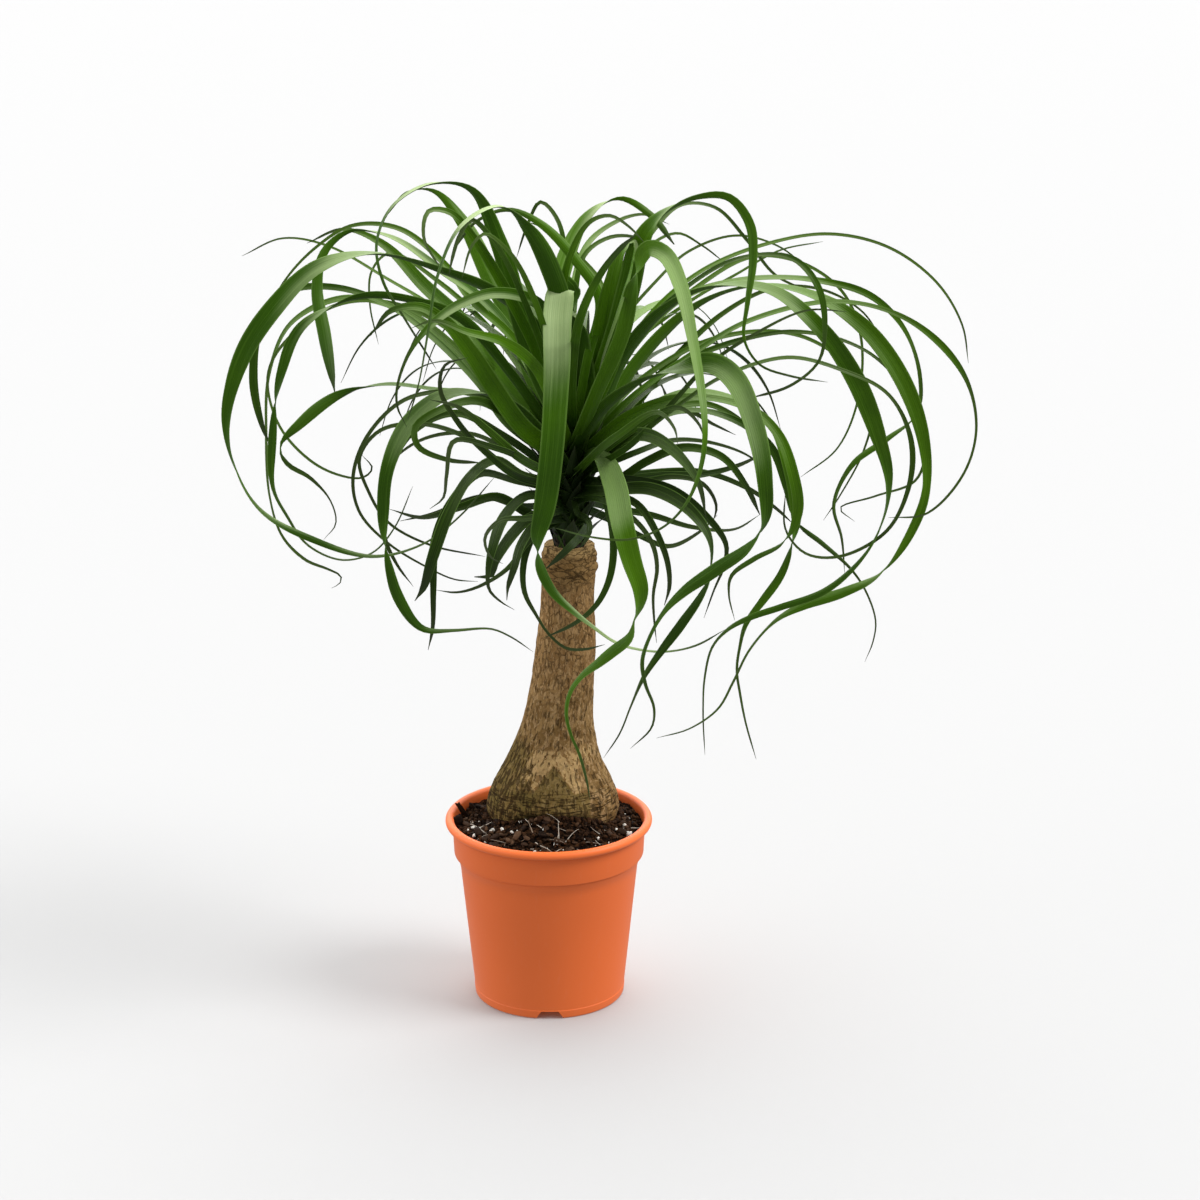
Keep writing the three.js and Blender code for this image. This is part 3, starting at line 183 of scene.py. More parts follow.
# Each leaf: name, height of its foot on the stem tip, nears, widths, route
LEAVES = [
    ["great left arch", 462, [25, 60, 90, 85, 70, 60], [-9, -9, -8, -6, -4, 1, 8, 12.5, 15, 14.5, 11, 5.5,
     1, -1.8, -4.5, -5.5, -3, -2, -1.5, -1.2, -1], [[-3, 557], [-40, 593], [-85, 612], [-135, 625],
     [-180, 614], [-213, 583], [-239, 544], [-253, 495], [-248, 455], [-228, 418], [-190, 394], [-140, 379],
     [-100, 389], [-70, 412], [-42, 444]]],
    ["left back bow", 468, [-15, -35, -45, -40], [7, 6, 5, 4, 2.5, 2, 1], [[-25, 556], [-60, 590],
     [-78, 616], [-113, 645], [-150, 648], [-180, 630], [-205, 603], [-222, 570]]],
    ["left pale hanger", 466, [-20, -15, 0, 20], [8, 7, 6, 5, 3, -3, -7, -9, -11, -9.5, -1], [[-40, 578],
     [-82, 612], [-120, 638], [-152, 643], [-172, 628], [-179, 600], [-174, 560], [-167, 513]]],
    ["left high thread", 458, [-60, -90, -110], [6, 5, 3, 2.2, 2, 1.7, 1], [[-40, 535], [-85, 580],
     [-125, 606], [-170, 632], [-205, 638], [-237, 624]]],
    ["left dark strap", 460, [-20, -55, -70], [12, 12, 12, 11, 7, 2.5, 1.5], [[-40, 530], [-65, 570],
     [-95, 600], [-128, 634], [-158, 645], [-186, 634]]],
    ["left hoop", 456, [10, 30, 45, 40, 20], [-8, -8, -8, -7, -6, -6, -5, 2, 8, 9.4, 4, -5.5, -8, -2.5,
     -2.4, -1.5, -1.6, -1.5, -1.3, -1.1, -0.9], [[-28, 528], [-66, 573], [-100, 587], [-140, 592],
     [-172, 581], [-195, 564], [-209, 530], [-216, 490], [-218, 437], [-207, 412], [-192, 389], [-165, 376],
     [-140, 382], [-122, 403], [-107, 437]]],
    ["left dark hook", 452, [-20, -40, -35, -10], [5, 4.5, 4, 3.4, 3, 2.4, 2, 2.4, 2, 1.2], [[-30, 518],
     [-70, 560], [-110, 583], [-150, 588], [-180, 577], [-213, 545], [-220, 522], [-210, 484], [-180, 453],
     [-148, 444], [-139, 452], [-147, 463]]],
    ["left olive strap", 450, [20, 10, -20, -45], [6, 4.5, 5, 4.5, 4.5, 5.5, 5, 4, 7.6, 6.4, 1],
     [[-34, 490], [-54, 520], [-88, 557], [-125, 585], [-165, 599], [-203, 595], [-225, 563], [-231, 525],
     [-226, 490], [-219, 470]]],
    ["left outer curl", 448, [-30, -65, -75, -60], [8, 7, 6, 5, 5, 2.5, 2.5, 2, 1.5, 3, 0.8], [[-30, 500],
     [-70, 548], [-112, 580], [-160, 590], [-200, 570], [-218, 530], [-222, 480], [-221, 430], [-212, 396],
     [-194, 376], [-176, 368], [-166, 362], [-167, 356], [-174, 352]]],
    ["left folded leaf", 446, [5, 25, 40, 35], [6, 6, 6, 5, 4, 3, 3, 2.5, 2, -1.8, -7, -10.5, -9, -6.5, 1.5,
     5, 2.8, 1.5, 1, 1, 0.9], [[-20, 498], [-50, 510], [-90, 516], [-128, 520], [-166, 511], [-194, 490],
     [-211, 470], [-206, 456], [-188, 444], [-173, 426], [-169, 406], [-179, 393]]],
    ["top left strap", 474, [12, 25, 35, 30, 20], [-15, -16, -16, -16, -16, -16, -15, -14, -11, -7, -3, 1,
     2, 2, 2, 2, 2, 1.8, 1.6, 1.4, 1.2], [[4, 505], [-14, 552], [-25, 592], [-36, 632], [-58, 675],
     [-88, 680], [-118, 663], [-131, 635], [-127, 604], [-112, 576], [-87, 533]]],
    ["top left back strap", 470, [-15, -40, -55], [-14, -15, -16, -16, -16, -15, -12, -8, -2, 2, 1.2],
     [[-8, 520], [-24, 570], [-42, 604], [-63, 648], [-86, 674], [-107, 674], [-124, 655]]],
    ["top left hooked tip", 472, [20, 50, 65], [8, 9, 8, 6, 3, 1], [[-12, 556], [-38, 608], [-55, 636],
     [-74, 658], [-91, 659], [-95, 638], [-80, 610]]],
    ["top arch to the left", 476, [15, 50, 85, 85, 70], [-14, -15, -15, -15, -15, -15, -15, -14.5, -13, -7,
     -2.5, 2, 3, 2.6, 2.2, 1.9, 1.6, 1.4, 1.2, 1, 0.8], [[18, 520], [18, 560], [5, 609], [-12, 642],
     [-37, 662], [-66, 646], [-84, 608], [-92, 565], [-101, 520], [-110, 492]]],
    ["top back arch", 474, [26, 22, 15], [-7, -7.5, -8, -8, -8, -7.5, -6, -3.5, -2.4, -2.4, -1.5],
     [[32, 540], [42, 588], [23, 620], [-3, 648], [-29, 660], [-55, 650], [-72, 628]]],
    ["front grey arch", 470, [32, 52, 66, 60], [9, 9, 9, 9, 8, 7.4, 6, 3, 2, 2, 1], [[8, 552], [-6, 585],
     [-40, 594], [-70, 584], [-93, 566], [-108, 546], [-118, 518], [-118, 502], [-111, 486]]],
    ["left inner dark leaf", 462, [40, 70, 80], [8, 9, 8, 5, 1], [[5, 505], [-10, 536], [-34, 555],
     [-62, 563], [-88, 572], [-106, 566]]],
    ["left inner broad leaf", 458, [30, 50, 60, 55], [14, 14, 14, 10, 6, 1], [[-18, 484], [-42, 518],
     [-60, 547], [-78, 570], [-98, 583], [-122, 580], [-138, 560]]],
    ["front long leaf", 466, [14, 30, 52, 66, 66, 56, 44, 38, 36], [-12, -14, -15, -13, 18, 22.5, 21.5, 20,
     18.5, 18, 18, 17.5, 11, -8, -7.6, -5, -2, -1.7, -1.6, -1.5, -1.2], [[30, 505], [26, 545], [21, 582],
     [13, 599], [9, 578], [8, 530], [4, 468], [-2, 420], [-8, 390], [-5, 368], [5, 348], [20, 333],
     [38, 318], [54, 306], [70, 300], [95, 297], [120, 302], [143, 315]]],
    ["front twisted leaf", 446, [26, 54, 58, 50, 40, 34, 33], [7, 16, 18.5, 18.5, 18, 17, 15.5, 13.5, 8.5,
     1, -6, -9.5, -8, -4.4, -3, -2.6, -2.4, -2.4, -2.2, -2, -1], [[42, 460], [53, 440], [60, 405],
     [67, 376], [74, 352], [74, 338], [69, 322], [65, 309], [52, 297], [41, 288], [27, 277], [17, 262],
     [14, 243], [18, 225], [25, 208], [31, 186], [34, 168]]],
    ["front slender leaf", 440, [12, 20, 25, 22], [6, 6, 6, 6, 5, 4, 3, 1], [[40, 438], [50, 412],
     [53, 385], [50, 360], [42, 341], [32, 329], [18, 319], [-3, 309]]],
    ["top right arch", 478, [0, -15, -25, -20], [9, 10, 12, 14, 15, 15, 10, 2, -6, -5.5, -4], [[11, 505],
     [7, 560], [12, 610], [32, 654], [58, 668], [82, 655], [100, 632]]],
    ["top right inner leaf", 476, [30, 50, 65], [7, 6, 5, 3, 1], [[12, 560], [17, 618], [34, 650],
     [50, 655], [65, 646], [78, 632]]],
    ["top right short leaf", 476, [40, 70, 80], [8, 7, 6, 3], [[20, 530], [27, 575], [42, 608], [57, 628],
     [70, 640]]],
    ["right dark upright", 468, [15, 30, 50, 70], [14, 15, 16, 16, 14, 9, 4, -3, -2.5, -2, -1], [[33, 505],
     [42, 550], [50, 595], [60, 628], [69, 634], [67, 618], [58, 585], [47, 550], [41, 530]]],
    ["right pale leaf", 466, [20, 45, 70, 80, 70], [16, 18, 19, 19, 18.5, 18, 17.5, 16, 8, 1, -4, -6, -7.4,
     -7, -5, -3.4, -2.4, -1.8, -1.6, -1.3, -1], [[38, 510], [54, 556], [65, 600], [74, 634], [92, 656],
     [118, 668], [142, 668], [158, 648], [161, 620], [157, 585], [155, 556], [168, 535], [192, 526],
     [222, 521]]],
    ["right dark bow", 464, [-20, -45, -55], [6, 5, 4, 3, 3, 2.6, 2.8, 3, 2.6, 2, 1], [[46, 545], [64, 608],
     [82, 640], [105, 663], [132, 661], [157, 635], [180, 607], [218, 590]]],
    ["right falling leaf", 460, [35, 60, 95, 120, 110, 95], [-10, -11, -12, -12, -12, -4, 13, 12.5, 11.5,
     10, 8, 7, 5.4, 4, 3, 2.2, 1.8, 1.6, 1.5, 1.4, 1], [[40, 512], [60, 562], [69, 604], [80, 629],
     [93, 624], [105, 600], [115, 556], [122, 515], [125, 478], [121, 448], [110, 421], [92, 402],
     [65, 392], [35, 394], [5, 402]]],
    ["right band", 454, [25, 50, 85, 100, 95, 80, 70, 65], [-10, -8, -4, 4, 13, 16.5, 17.5, 15.5, 14.4,
     12.4, 9.5, -2, -9.6, -10.6, -7.4, -2.4, -2.2, -3.4, -2.4, -1.5, -1], [[46, 500], [76, 522], [104, 532],
     [130, 537], [149, 523], [164, 488], [173, 446], [173, 405], [160, 385], [135, 366], [110, 348],
     [94, 332], [82, 310], [76, 288], [79, 268], [86, 248], [84, 231], [67, 213]]],
    ["right inner band", 452, [25, 45, 60, 50, 35], [10, 10, 9, 8, 6, 5, 5, 6, 7, 8, 8.5, 9, 9, 8, -1, -3.6,
     -4.6, -4, -1.5, -1.2, -1], [[60, 490], [95, 506], [130, 508], [165, 497], [184, 478], [196, 446],
     [200, 412], [188, 388], [166, 375], [148, 361], [146, 345], [151, 323]]],
    ["right long strand", 450, [10, 15, 10, 0, 0, 5], [8, 8, 7, 6, 4, 3, 4, 8.4, 10.6, 11, 8, -1, -5.4, -8,
     -5.6, -3, -2, -2, -1.8, -1.5, -1], [[62, 486], [110, 512], [150, 506], [178, 484], [194, 446],
     [199, 408], [195, 384], [187, 360], [173, 339], [160, 320], [155, 300], [153, 280], [156, 260],
     [161, 235], [170, 203]]],
    ["right hidden curl", 448, [-10, -25, -35, -30], [6, 6, 5, 4, 4, 5, 6, 7, 7, 7, 6.5, 5, -3, -5, -3.5,
     -2, -1.8, -1.6, -1.4, -1.2, -0.9], [[60, 478], [110, 498], [150, 490], [178, 468], [191, 435],
     [199, 406], [220, 388], [243, 367], [256, 348], [265, 322], [263, 303], [257, 287]]],
    ["right far arch", 464, [-10, -35, -45, -35], [5, 4.5, 4, 3.2, 3, 2.6, 2.6, 2.4, 2.2, 1.8, 1],
     [[50, 528], [85, 580], [125, 613], [175, 633], [222, 640], [268, 629], [306, 601], [327, 567],
     [333, 536]]],
    ["right wide hoop", 458, [-25, -60, -70, -45], [7, 7, 6, 5, 4, 4, 4, 4, 6, 6, 5, 3, 3, 4, -1, -5.4,
     -5.4, -3, -3, -2, -1], [[60, 540], [105, 588], [150, 603], [205, 604], [252, 592], [280, 566],
     [295, 525], [293, 495], [270, 474], [243, 453], [229, 420], [236, 392], [239, 363]]],
    ["right hooked leaf", 462, [20, 45, 60, 55], [6, 5, 4, 3.4, 3.4, 2.4, 5.4, 5, 2, 2.4, 2], [[50, 535],
     [98, 588], [148, 620], [192, 621], [213, 598], [219, 562], [214, 537], [192, 518], [160, 508]]],
    ["right outermost arch", 452, [0, 15, 20, 5], [5, 4.5, 4, 4, 3.2, 3.6, 6.2, 2.4, 2, 2.2, 1], [[62, 504],
     [115, 544], [160, 571], [225, 586], [275, 576], [310, 552], [333, 520], [341, 480], [331, 443],
     [303, 412], [273, 409]]],
    ["right broad leaf", 456, [25, 50, 60, 45, 25, 15, 10], [-12, -12, -10, -7, -3, 6, 10, 12.4, 14.6, 15.4,
     11.6, 5.6, 1, -2.8, -5, -5.4, -5.4, -1.8, -1.5, -1.2, -0.9], [[42, 498], [60, 540], [90, 577],
     [128, 597], [175, 595], [214, 566], [243, 525], [262, 480], [272, 440], [266, 400], [247, 369],
     [222, 347], [188, 334], [165, 326], [146, 316], [133, 301], [127, 275], [126, 245], [128, 207]]],
    ["right outer broad leaf", 450, [-5, -20, -20, -5, 5, 15, 20], [-10, -10, -9, -6, -2, 4, 7, 13, 14,
     13.6, 10.6, 6, 8.2, 3, -7.4, -9.4, -2, -1.6, -2, -1.4, -0.9], [[48, 496], [72, 537], [115, 580],
     [160, 598], [205, 592], [248, 567], [280, 525], [299, 475], [302, 430], [292, 398], [268, 363],
     [240, 347], [208, 336], [184, 323], [163, 298], [150, 270], [138, 247], [115, 230], [88, 222]]],
    ["right back leaf", 448, [-50, -75, -80], [7, 6, 4.5, 3, 2, 1], [[56, 484], [98, 538], [140, 578],
     [178, 597], [215, 596], [248, 578], [268, 548]]],
    ["right slender leaf", 446, [50, 65, 60], [5, 4, 3, 2, 1], [[66, 470], [97, 502], [126, 534],
     [160, 558], [204, 579], [236, 578]]],
    ["right great loop", 444, [50, 80, 70, 45, 30, 35], [4, 3.4, 2.6, 3, 3, 2.6, 5, 3, 2.6, 2, 1],
     [[68, 474], [104, 502], [140, 526], [190, 541], [235, 530], [270, 511], [289, 475], [289, 436],
     [272, 398], [236, 377], [208, 379], [191, 399], [190, 432]]],
    ["right high bow", 468, [-60, -85, -85], [3.5, 2.6, 2.2, 1.8, 1], [[52, 560], [86, 603], [112, 627],
     [148, 639], [182, 630], [210, 607]]],
    ["right back bow", 460, [-45, -70, -60], [5, 4, 3, 2.4, 2, 1], [[60, 545], [110, 592], [160, 622],
     [200, 617], [232, 594], [247, 560], [247, 510], [231, 467], [202, 443]]],
    ["right back hanger", 456, [-40, -75, -80], [5, 4, 3, 2, 1], [[70, 520], [130, 556], [195, 560],
     [238, 534], [257, 496], [252, 465], [234, 428], [221, 407]]],
    ["right back crook", 452, [-20, -45, -50, -40], [5, 5, 3.5, 2.5, 3, 2, 1], [[66, 508], [120, 544],
     [195, 562], [252, 546], [288, 508], [301, 468], [294, 440], [262, 427], [234, 417], [246, 406]]],
    ["right skirt leaf", 438, [20, 50, 72, 75], [9, 10, 10, 11, 11, 10, 9, 8, 6, 3, 2], [[48, 466],
     [64, 478], [84, 477], [107, 459], [121, 438], [127, 410]]],
    ["right skirt long leaf", 430, [30, 50, 55, 50, 40], [8, 9, 10, 10, 11, 9, 7, 3, 1, -3.4, -6, -8, -8,
     -6, -4.6, -2.6, -1.6, -1.4, -1.2, -1, -0.9], [[48, 432], [82, 434], [112, 418], [129, 393], [130, 362],
     [123, 344], [108, 320], [91, 296], [77, 274], [67, 250], [58, 226], [45, 205]]],
    ["right skirt hanger", 434, [20, 35, 35, 30], [7, 7, 7, 6, 3, 1.5, 1], [[60, 442], [100, 433],
     [127, 411], [143, 388], [142, 370], [134, 349], [126, 325]]],
    ["right skirt hook", 440, [10, 15, 10], [6, 7, 7, 6, 5, 3], [[56, 442], [78, 456], [108, 468],
     [138, 461], [158, 437], [170, 412]]],
    ["right skirt spear", 436, [-10, -30, -40], [7, 6, 6, 4, 1], [[58, 441], [90, 445], [125, 446],
     [152, 453], [178, 466]]],
    ["right skirt bow", 446, [-15, -40, -50], [7, 6, 6, 4, 2], [[62, 476], [92, 497], [124, 504],
     [150, 493], [168, 474]]],
    ["right low leaf", 426, [20, 35, 38], [6, 6, 6, 5, 4, 2], [[50, 430], [72, 421], [87, 398], [96, 374],
     [98, 352], [94, 336]]],
    ["left sickle", 444, [20, 40, 60, 60, 45, 35], [-8, -8, -6, -3, 4, 8.6, 12, 13.4, 12, 9, 11, 5, -5,
     -8.4, -9.4, -7, -2.8, -2.4, -1.5, -1.2, -1], [[-2, 476], [-34, 507], [-78, 512], [-107, 492],
     [-126, 455], [-131, 412], [-127, 370], [-121, 346], [-107, 322], [-97, 316], [-75, 316], [-46, 317],
     [-30, 310], [-12, 297]]],
    ["left inner sickle", 442, [30, 55, 60, 45], [7, 7, 6, 5, 4, 2], [[-28, 492], [-55, 507], [-82, 501],
     [-104, 486], [-103, 471], [-80, 459], [-52, 456]]],
    ["left outer sickle", 440, [20, 40, 45, 35, 30], [5, 4, 3.4, 3, 3, 2.4, 2, 1.5, 1], [[-26, 494],
     [-60, 513], [-110, 509], [-140, 482], [-154, 448], [-150, 416], [-128, 390], [-98, 370], [-75, 359],
     [-56, 357]]],
    ["left low hoop", 436, [10, 20, 20, 10], [5, 4, 3.4, 3, 2.6, 2.2, 1.8, 1], [[-28, 450], [-62, 476],
     [-98, 488], [-132, 483], [-149, 460], [-142, 432], [-127, 407], [-94, 388], [-50, 378]]],
    ["left low bow", 438, [5, -10, -20], [4, 3.4, 3, 2, 1], [[-30, 466], [-60, 480], [-95, 477],
     [-120, 461], [-132, 440]]],
    ["left upturned leaf", 436, [45, 70, 75], [6, 5, 4.6, 4.4, 3, 1], [[-26, 446], [-50, 466], [-70, 489],
     [-84, 516], [-80, 536], [-62, 542]]],
    ["left hidden strand", 438, [-10, -25, -20], [6, 6, 5, 4, 4, 1], [[-34, 478], [-72, 497], [-108, 480],
     [-128, 440], [-131, 398], [-121, 372], [-108, 353]]],
    ["left skirt leaf", 432, [35, 60, 70, 60], [5, 5, 6.4, 7.4, 7.4, 7.6, 10, 9.4, 8, 7, 1], [[-20, 446],
     [-42, 458], [-62, 444], [-80, 412], [-92, 378], [-100, 352], [-107, 341]]],
    ["left skirt strand", 430, [20, 30, 35, 35], [5, 5, 6, 7, 8, 8, 7, 5, 4.4, 3.4, 1], [[-24, 440],
     [-54, 447], [-76, 424], [-90, 390], [-92, 350], [-93, 318], [-97, 299]]],
    ["left skirt spear", 426, [20, 25, 10], [7, 7, 7, 5, 3, 1], [[-10, 412], [-40, 428], [-68, 420],
     [-100, 411], [-126, 418]]],
    ["left low strap", 420, [30, 50, 52], [7, 8, 9, 8, 3, 2, 1], [[-18, 428], [-34, 412], [-44, 386],
     [-48, 364], [-47, 350], [-38, 340], [-27, 333]]],
    ["left low broad strap", 416, [25, 40, 40], [8, 9, 9, 6, 2], [[-14, 410], [-30, 394], [-42, 374],
     [-46, 362], [-59, 361]]],
    ["left low blade", 412, [30, 42, 44], [7, 7, 7, 5, 1], [[-12, 402], [-22, 386], [-27, 368], [-32, 352],
     [-33, 341]]],
    ["left trunk strand", 410, [10, 16, 20, 21, 20], [6, 6, 5, 4, 2.5, 2, 2, 3, 1], [[-8, 400], [-17, 382],
     [-20, 362], [-18, 346], [-10, 330], [1, 312], [15, 300], [30, 299], [46, 303]]],
]

# Thread-like leaves, in the same way
FINE_LEAVES = [
    ["left back thread", 464, [-60, -85, -80], [5, 4, 2, 1], [[-40, 560], [-85, 604], [-122, 626],
     [-136, 612], [-138, 585], [-132, 553]]],
    ["top left thread", 472, [45, 75, 85], [5, 4, 4, 2], [[-14, 580], [-42, 637], [-58, 652], [-67, 640],
     [-73, 622], [-76, 608]]],
    ["top left short thread", 474, [60, 95, 100], [5, 4, 3, 1], [[-8, 585], [-32, 630], [-48, 641],
     [-58, 631], [-66, 605]]],
    ["top back thread", 474, [-50, -70, -75], [5, 4, 3, 1], [[36, 558], [44, 598], [25, 624], [6, 642],
     [-16, 651]]],
    ["top thread", 478, [-40, -55], [5, 4, 3, 1], [[17, 590], [10, 650], [-4, 666], [-15, 646],
     [-23, 622]]],
    ["top right back thread", 476, [-50, -80], [6, 5, 3, 1], [[20, 590], [32, 632], [54, 650], [76, 656],
     [96, 648]]],
    ["top right thread", 474, [-30, -45], [5, 4, 3, 1], [[22, 585], [30, 624], [50, 638], [72, 637],
     [86, 624]]],
    ["right high thread", 466, [-70, -95], [4, 3, 2, 1], [[60, 545], [110, 585], [150, 609], [182, 627],
     [216, 634]]],
    ["right top thread", 470, [-55, -75], [4, 3, 2, 1], [[56, 590], [80, 630], [102, 641], [122, 631],
     [140, 617]]],
    ["right skirt thread", 442, [0, -15, -25], [5, 4, 3, 2, 1], [[70, 464], [100, 474], [130, 472],
     [160, 461], [176, 446]]],
    ["right skirt tip", 444, [70, 95], [6, 5, 3, 1], [[56, 478], [88, 497], [101, 484], [104, 470]]],
    ["right skirt second tip", 444, [40, 60], [6, 5, 3, 1], [[70, 484], [104, 501], [120, 488],
     [126, 472]]],
    ["right skirt third tip", 442, [-20, -45], [6, 5, 3, 1], [[74, 486], [110, 498], [132, 487],
     [150, 478]]],
    ["right low thread", 424, [35, 50, 55], [5, 4, 4, 3, 2, 1], [[46, 424], [70, 408], [84, 388], [88, 368],
     [85, 345], [86, 322], [88, 304]]],
    ["right low spear", 422, [-5, -25], [6, 5, 4, 3, 1], [[48, 410], [72, 396], [98, 386], [122, 398],
     [136, 412]]],
    ["right low back spear", 428, [-30, -60], [6, 5, 3, 1], [[54, 418], [84, 412], [116, 402], [150, 400],
     [170, 412]]],
    ["right crook", 432, [-10, -20], [6, 5, 4, 3, 1], [[62, 436], [100, 444], [124, 438], [135, 420],
     [132, 404]]],
    ["right drooping tip", 436, [-30, -55], [6, 5, 4, 2], [[70, 446], [122, 448], [160, 434], [182, 418],
     [196, 405]]],
    ["left short spear", 440, [60, 80], [7, 6, 4, 1], [[-24, 462], [-48, 484], [-70, 502], [-92, 508]]],
    ["left skirt thread", 424, [-10, -20], [5, 4, 3, 1], [[-20, 420], [-52, 428], [-92, 414], [-118, 408]]],
    ["left wandering thread", 414, [20, 30, 40], [5, 4, 3, 2, 1], [[-14, 392], [-32, 368], [-55, 353],
     [-73, 348], [-90, 350]]],
    ["left low curl", 418, [45, 65], [5, 4, 3, 2, 1], [[-16, 410], [-38, 408], [-50, 394], [-46, 378],
     [-36, 372]]],
    ["left hanging thread", 434, [70, 85], [5, 4, 3, 1], [[-40, 468], [-74, 474], [-80, 446], [-83, 427],
     [-94, 418]]],
    ["neck leaf", 404, [14, 27, 29, 28], [3, 6, 7, 6, 5, 3], [[31, 404], [28, 397], [19, 387], [8, 376],
     [-1, 368]]],
    ["pale shoot", 446, [12, 24, 26], [4, 5, 5, 4, 3], [[24, 414], [31, 410], [34, 402], [32, 393],
     [26, 385]]],
]

# Bits of the mix that stand out: [x, y, size, lean, tone]
NOTED_CHIPS = [
    (-76, -2, 8.5, 1.15, 0.0), (-26, -47, 7.5, 0.5, 1.0), (-33, -50, 6, 0.2, 0.9), (-18, -51, 5, 0.4, 0.8),
    (8, -58, 7, 0.2, 0.3), (-44, -44, 7, 0.4, 0.2), (-58, -30, 7, 0.3, 0.1), (60, -30, 6.5, 0.3, 0.15),
]

# Chips that stand up from the mix: [foot, tip, half width]
LEANING_CHIPS = [
    ((-67, 15, 146), (-76.5, 12, 163), 2.6), ((-60, 30, 145), (-66, 33, 153), 2.3),
]

# White grains that stand out: [x, y, size]
NOTED_GRAINS = [
    (-62, -12, 2.1), (-57, -16, 1.9), (-66, -20, 1.6), (-61, -33, 1.9), (-46, -22, 1.7), (-38, -30, 2.6),
    (7, -58, 2.2), (62, -14, 1.9), (65, -32, 2.6), (40, -46, 1.6), (-30, -38, 1.5), (55, -22, 1.4),
]

# Fibres that stand out: [x, y, length, heading, rise]
NOTED_FIBRES = [
    (8, -53, 14, 1.6, 1.1), (22, -60, 13, -0.9, 0.15), (-12, -52, 24, -0.95, 0.12), (-60, -42, 12, 0.3, 0.1),
    (28, -55, 16, 0.1, 0.1), (18, -44, 12, 3.0, 0.2),
]

# Studio: what the camera looks at, where the key light comes from, and the softbox's place and width
CAMERA_TARGET = (42.1, 0, 340.9)
KEY_FROM = (1.5, -0.4, 1.55)
SOFTBOX = {"toward": (0.0, 0.75, 0.7), "edge": 0.55, "full": 0.95}


def smoothstep(value, start, end):
    """An eased share from 0 at the start to 1 at the end."""
    share = np.clip((value - start) / (end - start), 0, 1)
    return share * share * (3 - 2 * share)


def spread(values, share):
    """The value that a list, spread evenly over 0 to 1, has at each share."""
    return np.interp(share, np.linspace(0, 1, len(values)), values)


def seeded_draw(seed):
    """A random draw between 0 and 1 that comes out the same each time."""
    state = seed
    while True:
        state = state * 16807 % 2147483647
        yield state / 2147483647


def lattice_random(cells, seed):
    """A random number between 0 and 1 for each cell of a lattice."""
    mixed = cells[..., 0] * 73856093 ^ cells[..., 1] * 19349663 ^ cells[..., 2] * 83492791
    mixed = (mixed ^ seed * 668265263) & 0xFFFFFFFF
    mixed = (mixed ^ mixed >> 15) * 2246822519 & 0xFFFFFFFF
    mixed = (mixed ^ mixed >> 13) * 3266489917 & 0xFFFFFFFF
    return (mixed ^ mixed >> 16) / 0xFFFFFFFF


def smooth_noise(points, size, seed):
    """Smooth noise between -1 and 1, with lumps of about the given size."""
    scaled = points / np.asarray(size, float)
    cell = np.floor(scaled).astype(np.int64)
    part = scaled - cell
    part = part * part * (3 - 2 * part)
    total = np.zeros(len(points))
    for corner in product((0, 1), repeat=3):
        weight = np.prod(np.where(corner, part, 1 - part), axis=1)
        total += weight * lattice_random(cell + np.array(corner), seed)
    return total * 2 - 1


def layered_noise(points, size, seed):
    """Smooth noise with finer and weaker layers on top."""
    layers = 3
    size = np.asarray(size, float)
    total = sum(smooth_noise(points, size / 2**layer, seed + layer) / 2**layer for layer in range(layers))
    return total / (2 - 2 ** (1 - layers))


def flakes(points, size, seed):
    """For each point, the distance to its flake's border, from 0, and a random number for its flake."""
    scaled = points / np.asarray(size, float)
    cell = np.floor(scaled).astype(np.int64)
    first = np.full(len(points), 9.0)
    second = np.full(len(points), 9.0)
    own = np.zeros(len(points))
    for corner in product((-1, 0, 1), repeat=3):
        near = cell + np.array(corner)
        seat = near + np.stack([lattice_random(near, seed + axis) for axis in range(3)], axis=1)
        away = np.linalg.norm(scaled - seat, axis=1)
        closer = away < first
        second = np.where(closer, first, np.minimum(second, away))
        own = np.where(closer, lattice_random(near, seed + 3), own)
        first = np.minimum(first, away)
    return second - first, own


class Socket:
    """An output of a material's node that takes part in sums as a number does."""

    def __init__(self, shader, socket):
        self.shader = shader
        self.socket = socket

    def __add__(self, other):
        return self.shader.math("ADD", self, other)

    def __radd__(self, other):
        return self.shader.math("ADD", other, self)

    def __sub__(self, other):
        return self.shader.math("SUBTRACT", self, other)

    def __rsub__(self, other):
        return self.shader.math("SUBTRACT", other, self)

    def __mul__(self, other):
        return self.shader.math("MULTIPLY", self, other)

    def __rmul__(self, other):
        return self.shader.math("MULTIPLY", other, self)


class NodeMaker:
    """Makes nodes in a tree, with their settings, values and links."""

    def node(self, kind, inputs, output=0, **settings):
        """Adds a node with its settings, then its socket values and links."""
        made = self.tree.nodes.new(kind)
        for key, value in settings.items():
            setattr(made, key, value)
        self.feed(made, inputs)
        return Socket(self, made.outputs[output])

    def feed(self, node, inputs):
        for key, value in inputs.items():
            if isinstance(value, Socket):
                self.tree.links.new(value.socket, node.inputs[key])
            else:
                node.inputs[key].default_value = value

    def math(self, operation, first, second=0.0):
        return self.node("ShaderNodeMath", {0: first, 1: second}, operation=operation)

    def mix(self, factor, first, second):
        return self.node("ShaderNodeMix", {0: factor, 6: first, 7: second}, output=2, data_type="RGBA")

    def coated(self, base, *coats):
        """A colour with others laid over it in turn, each by its own share."""
        for share, colour in coats:
            base = self.mix(share, base, colour if isinstance(colour, Socket) else opaque(colour))
        return base

    def ramp(self, factor, low, high):
        """0 where the factor is at most low, and 1 where it is at least high."""
        inputs = {"Value": factor, "From Min": low, "From Max": high}
        return self.node("ShaderNodeMapRange", inputs, interpolation_type="SMOOTHSTEP")


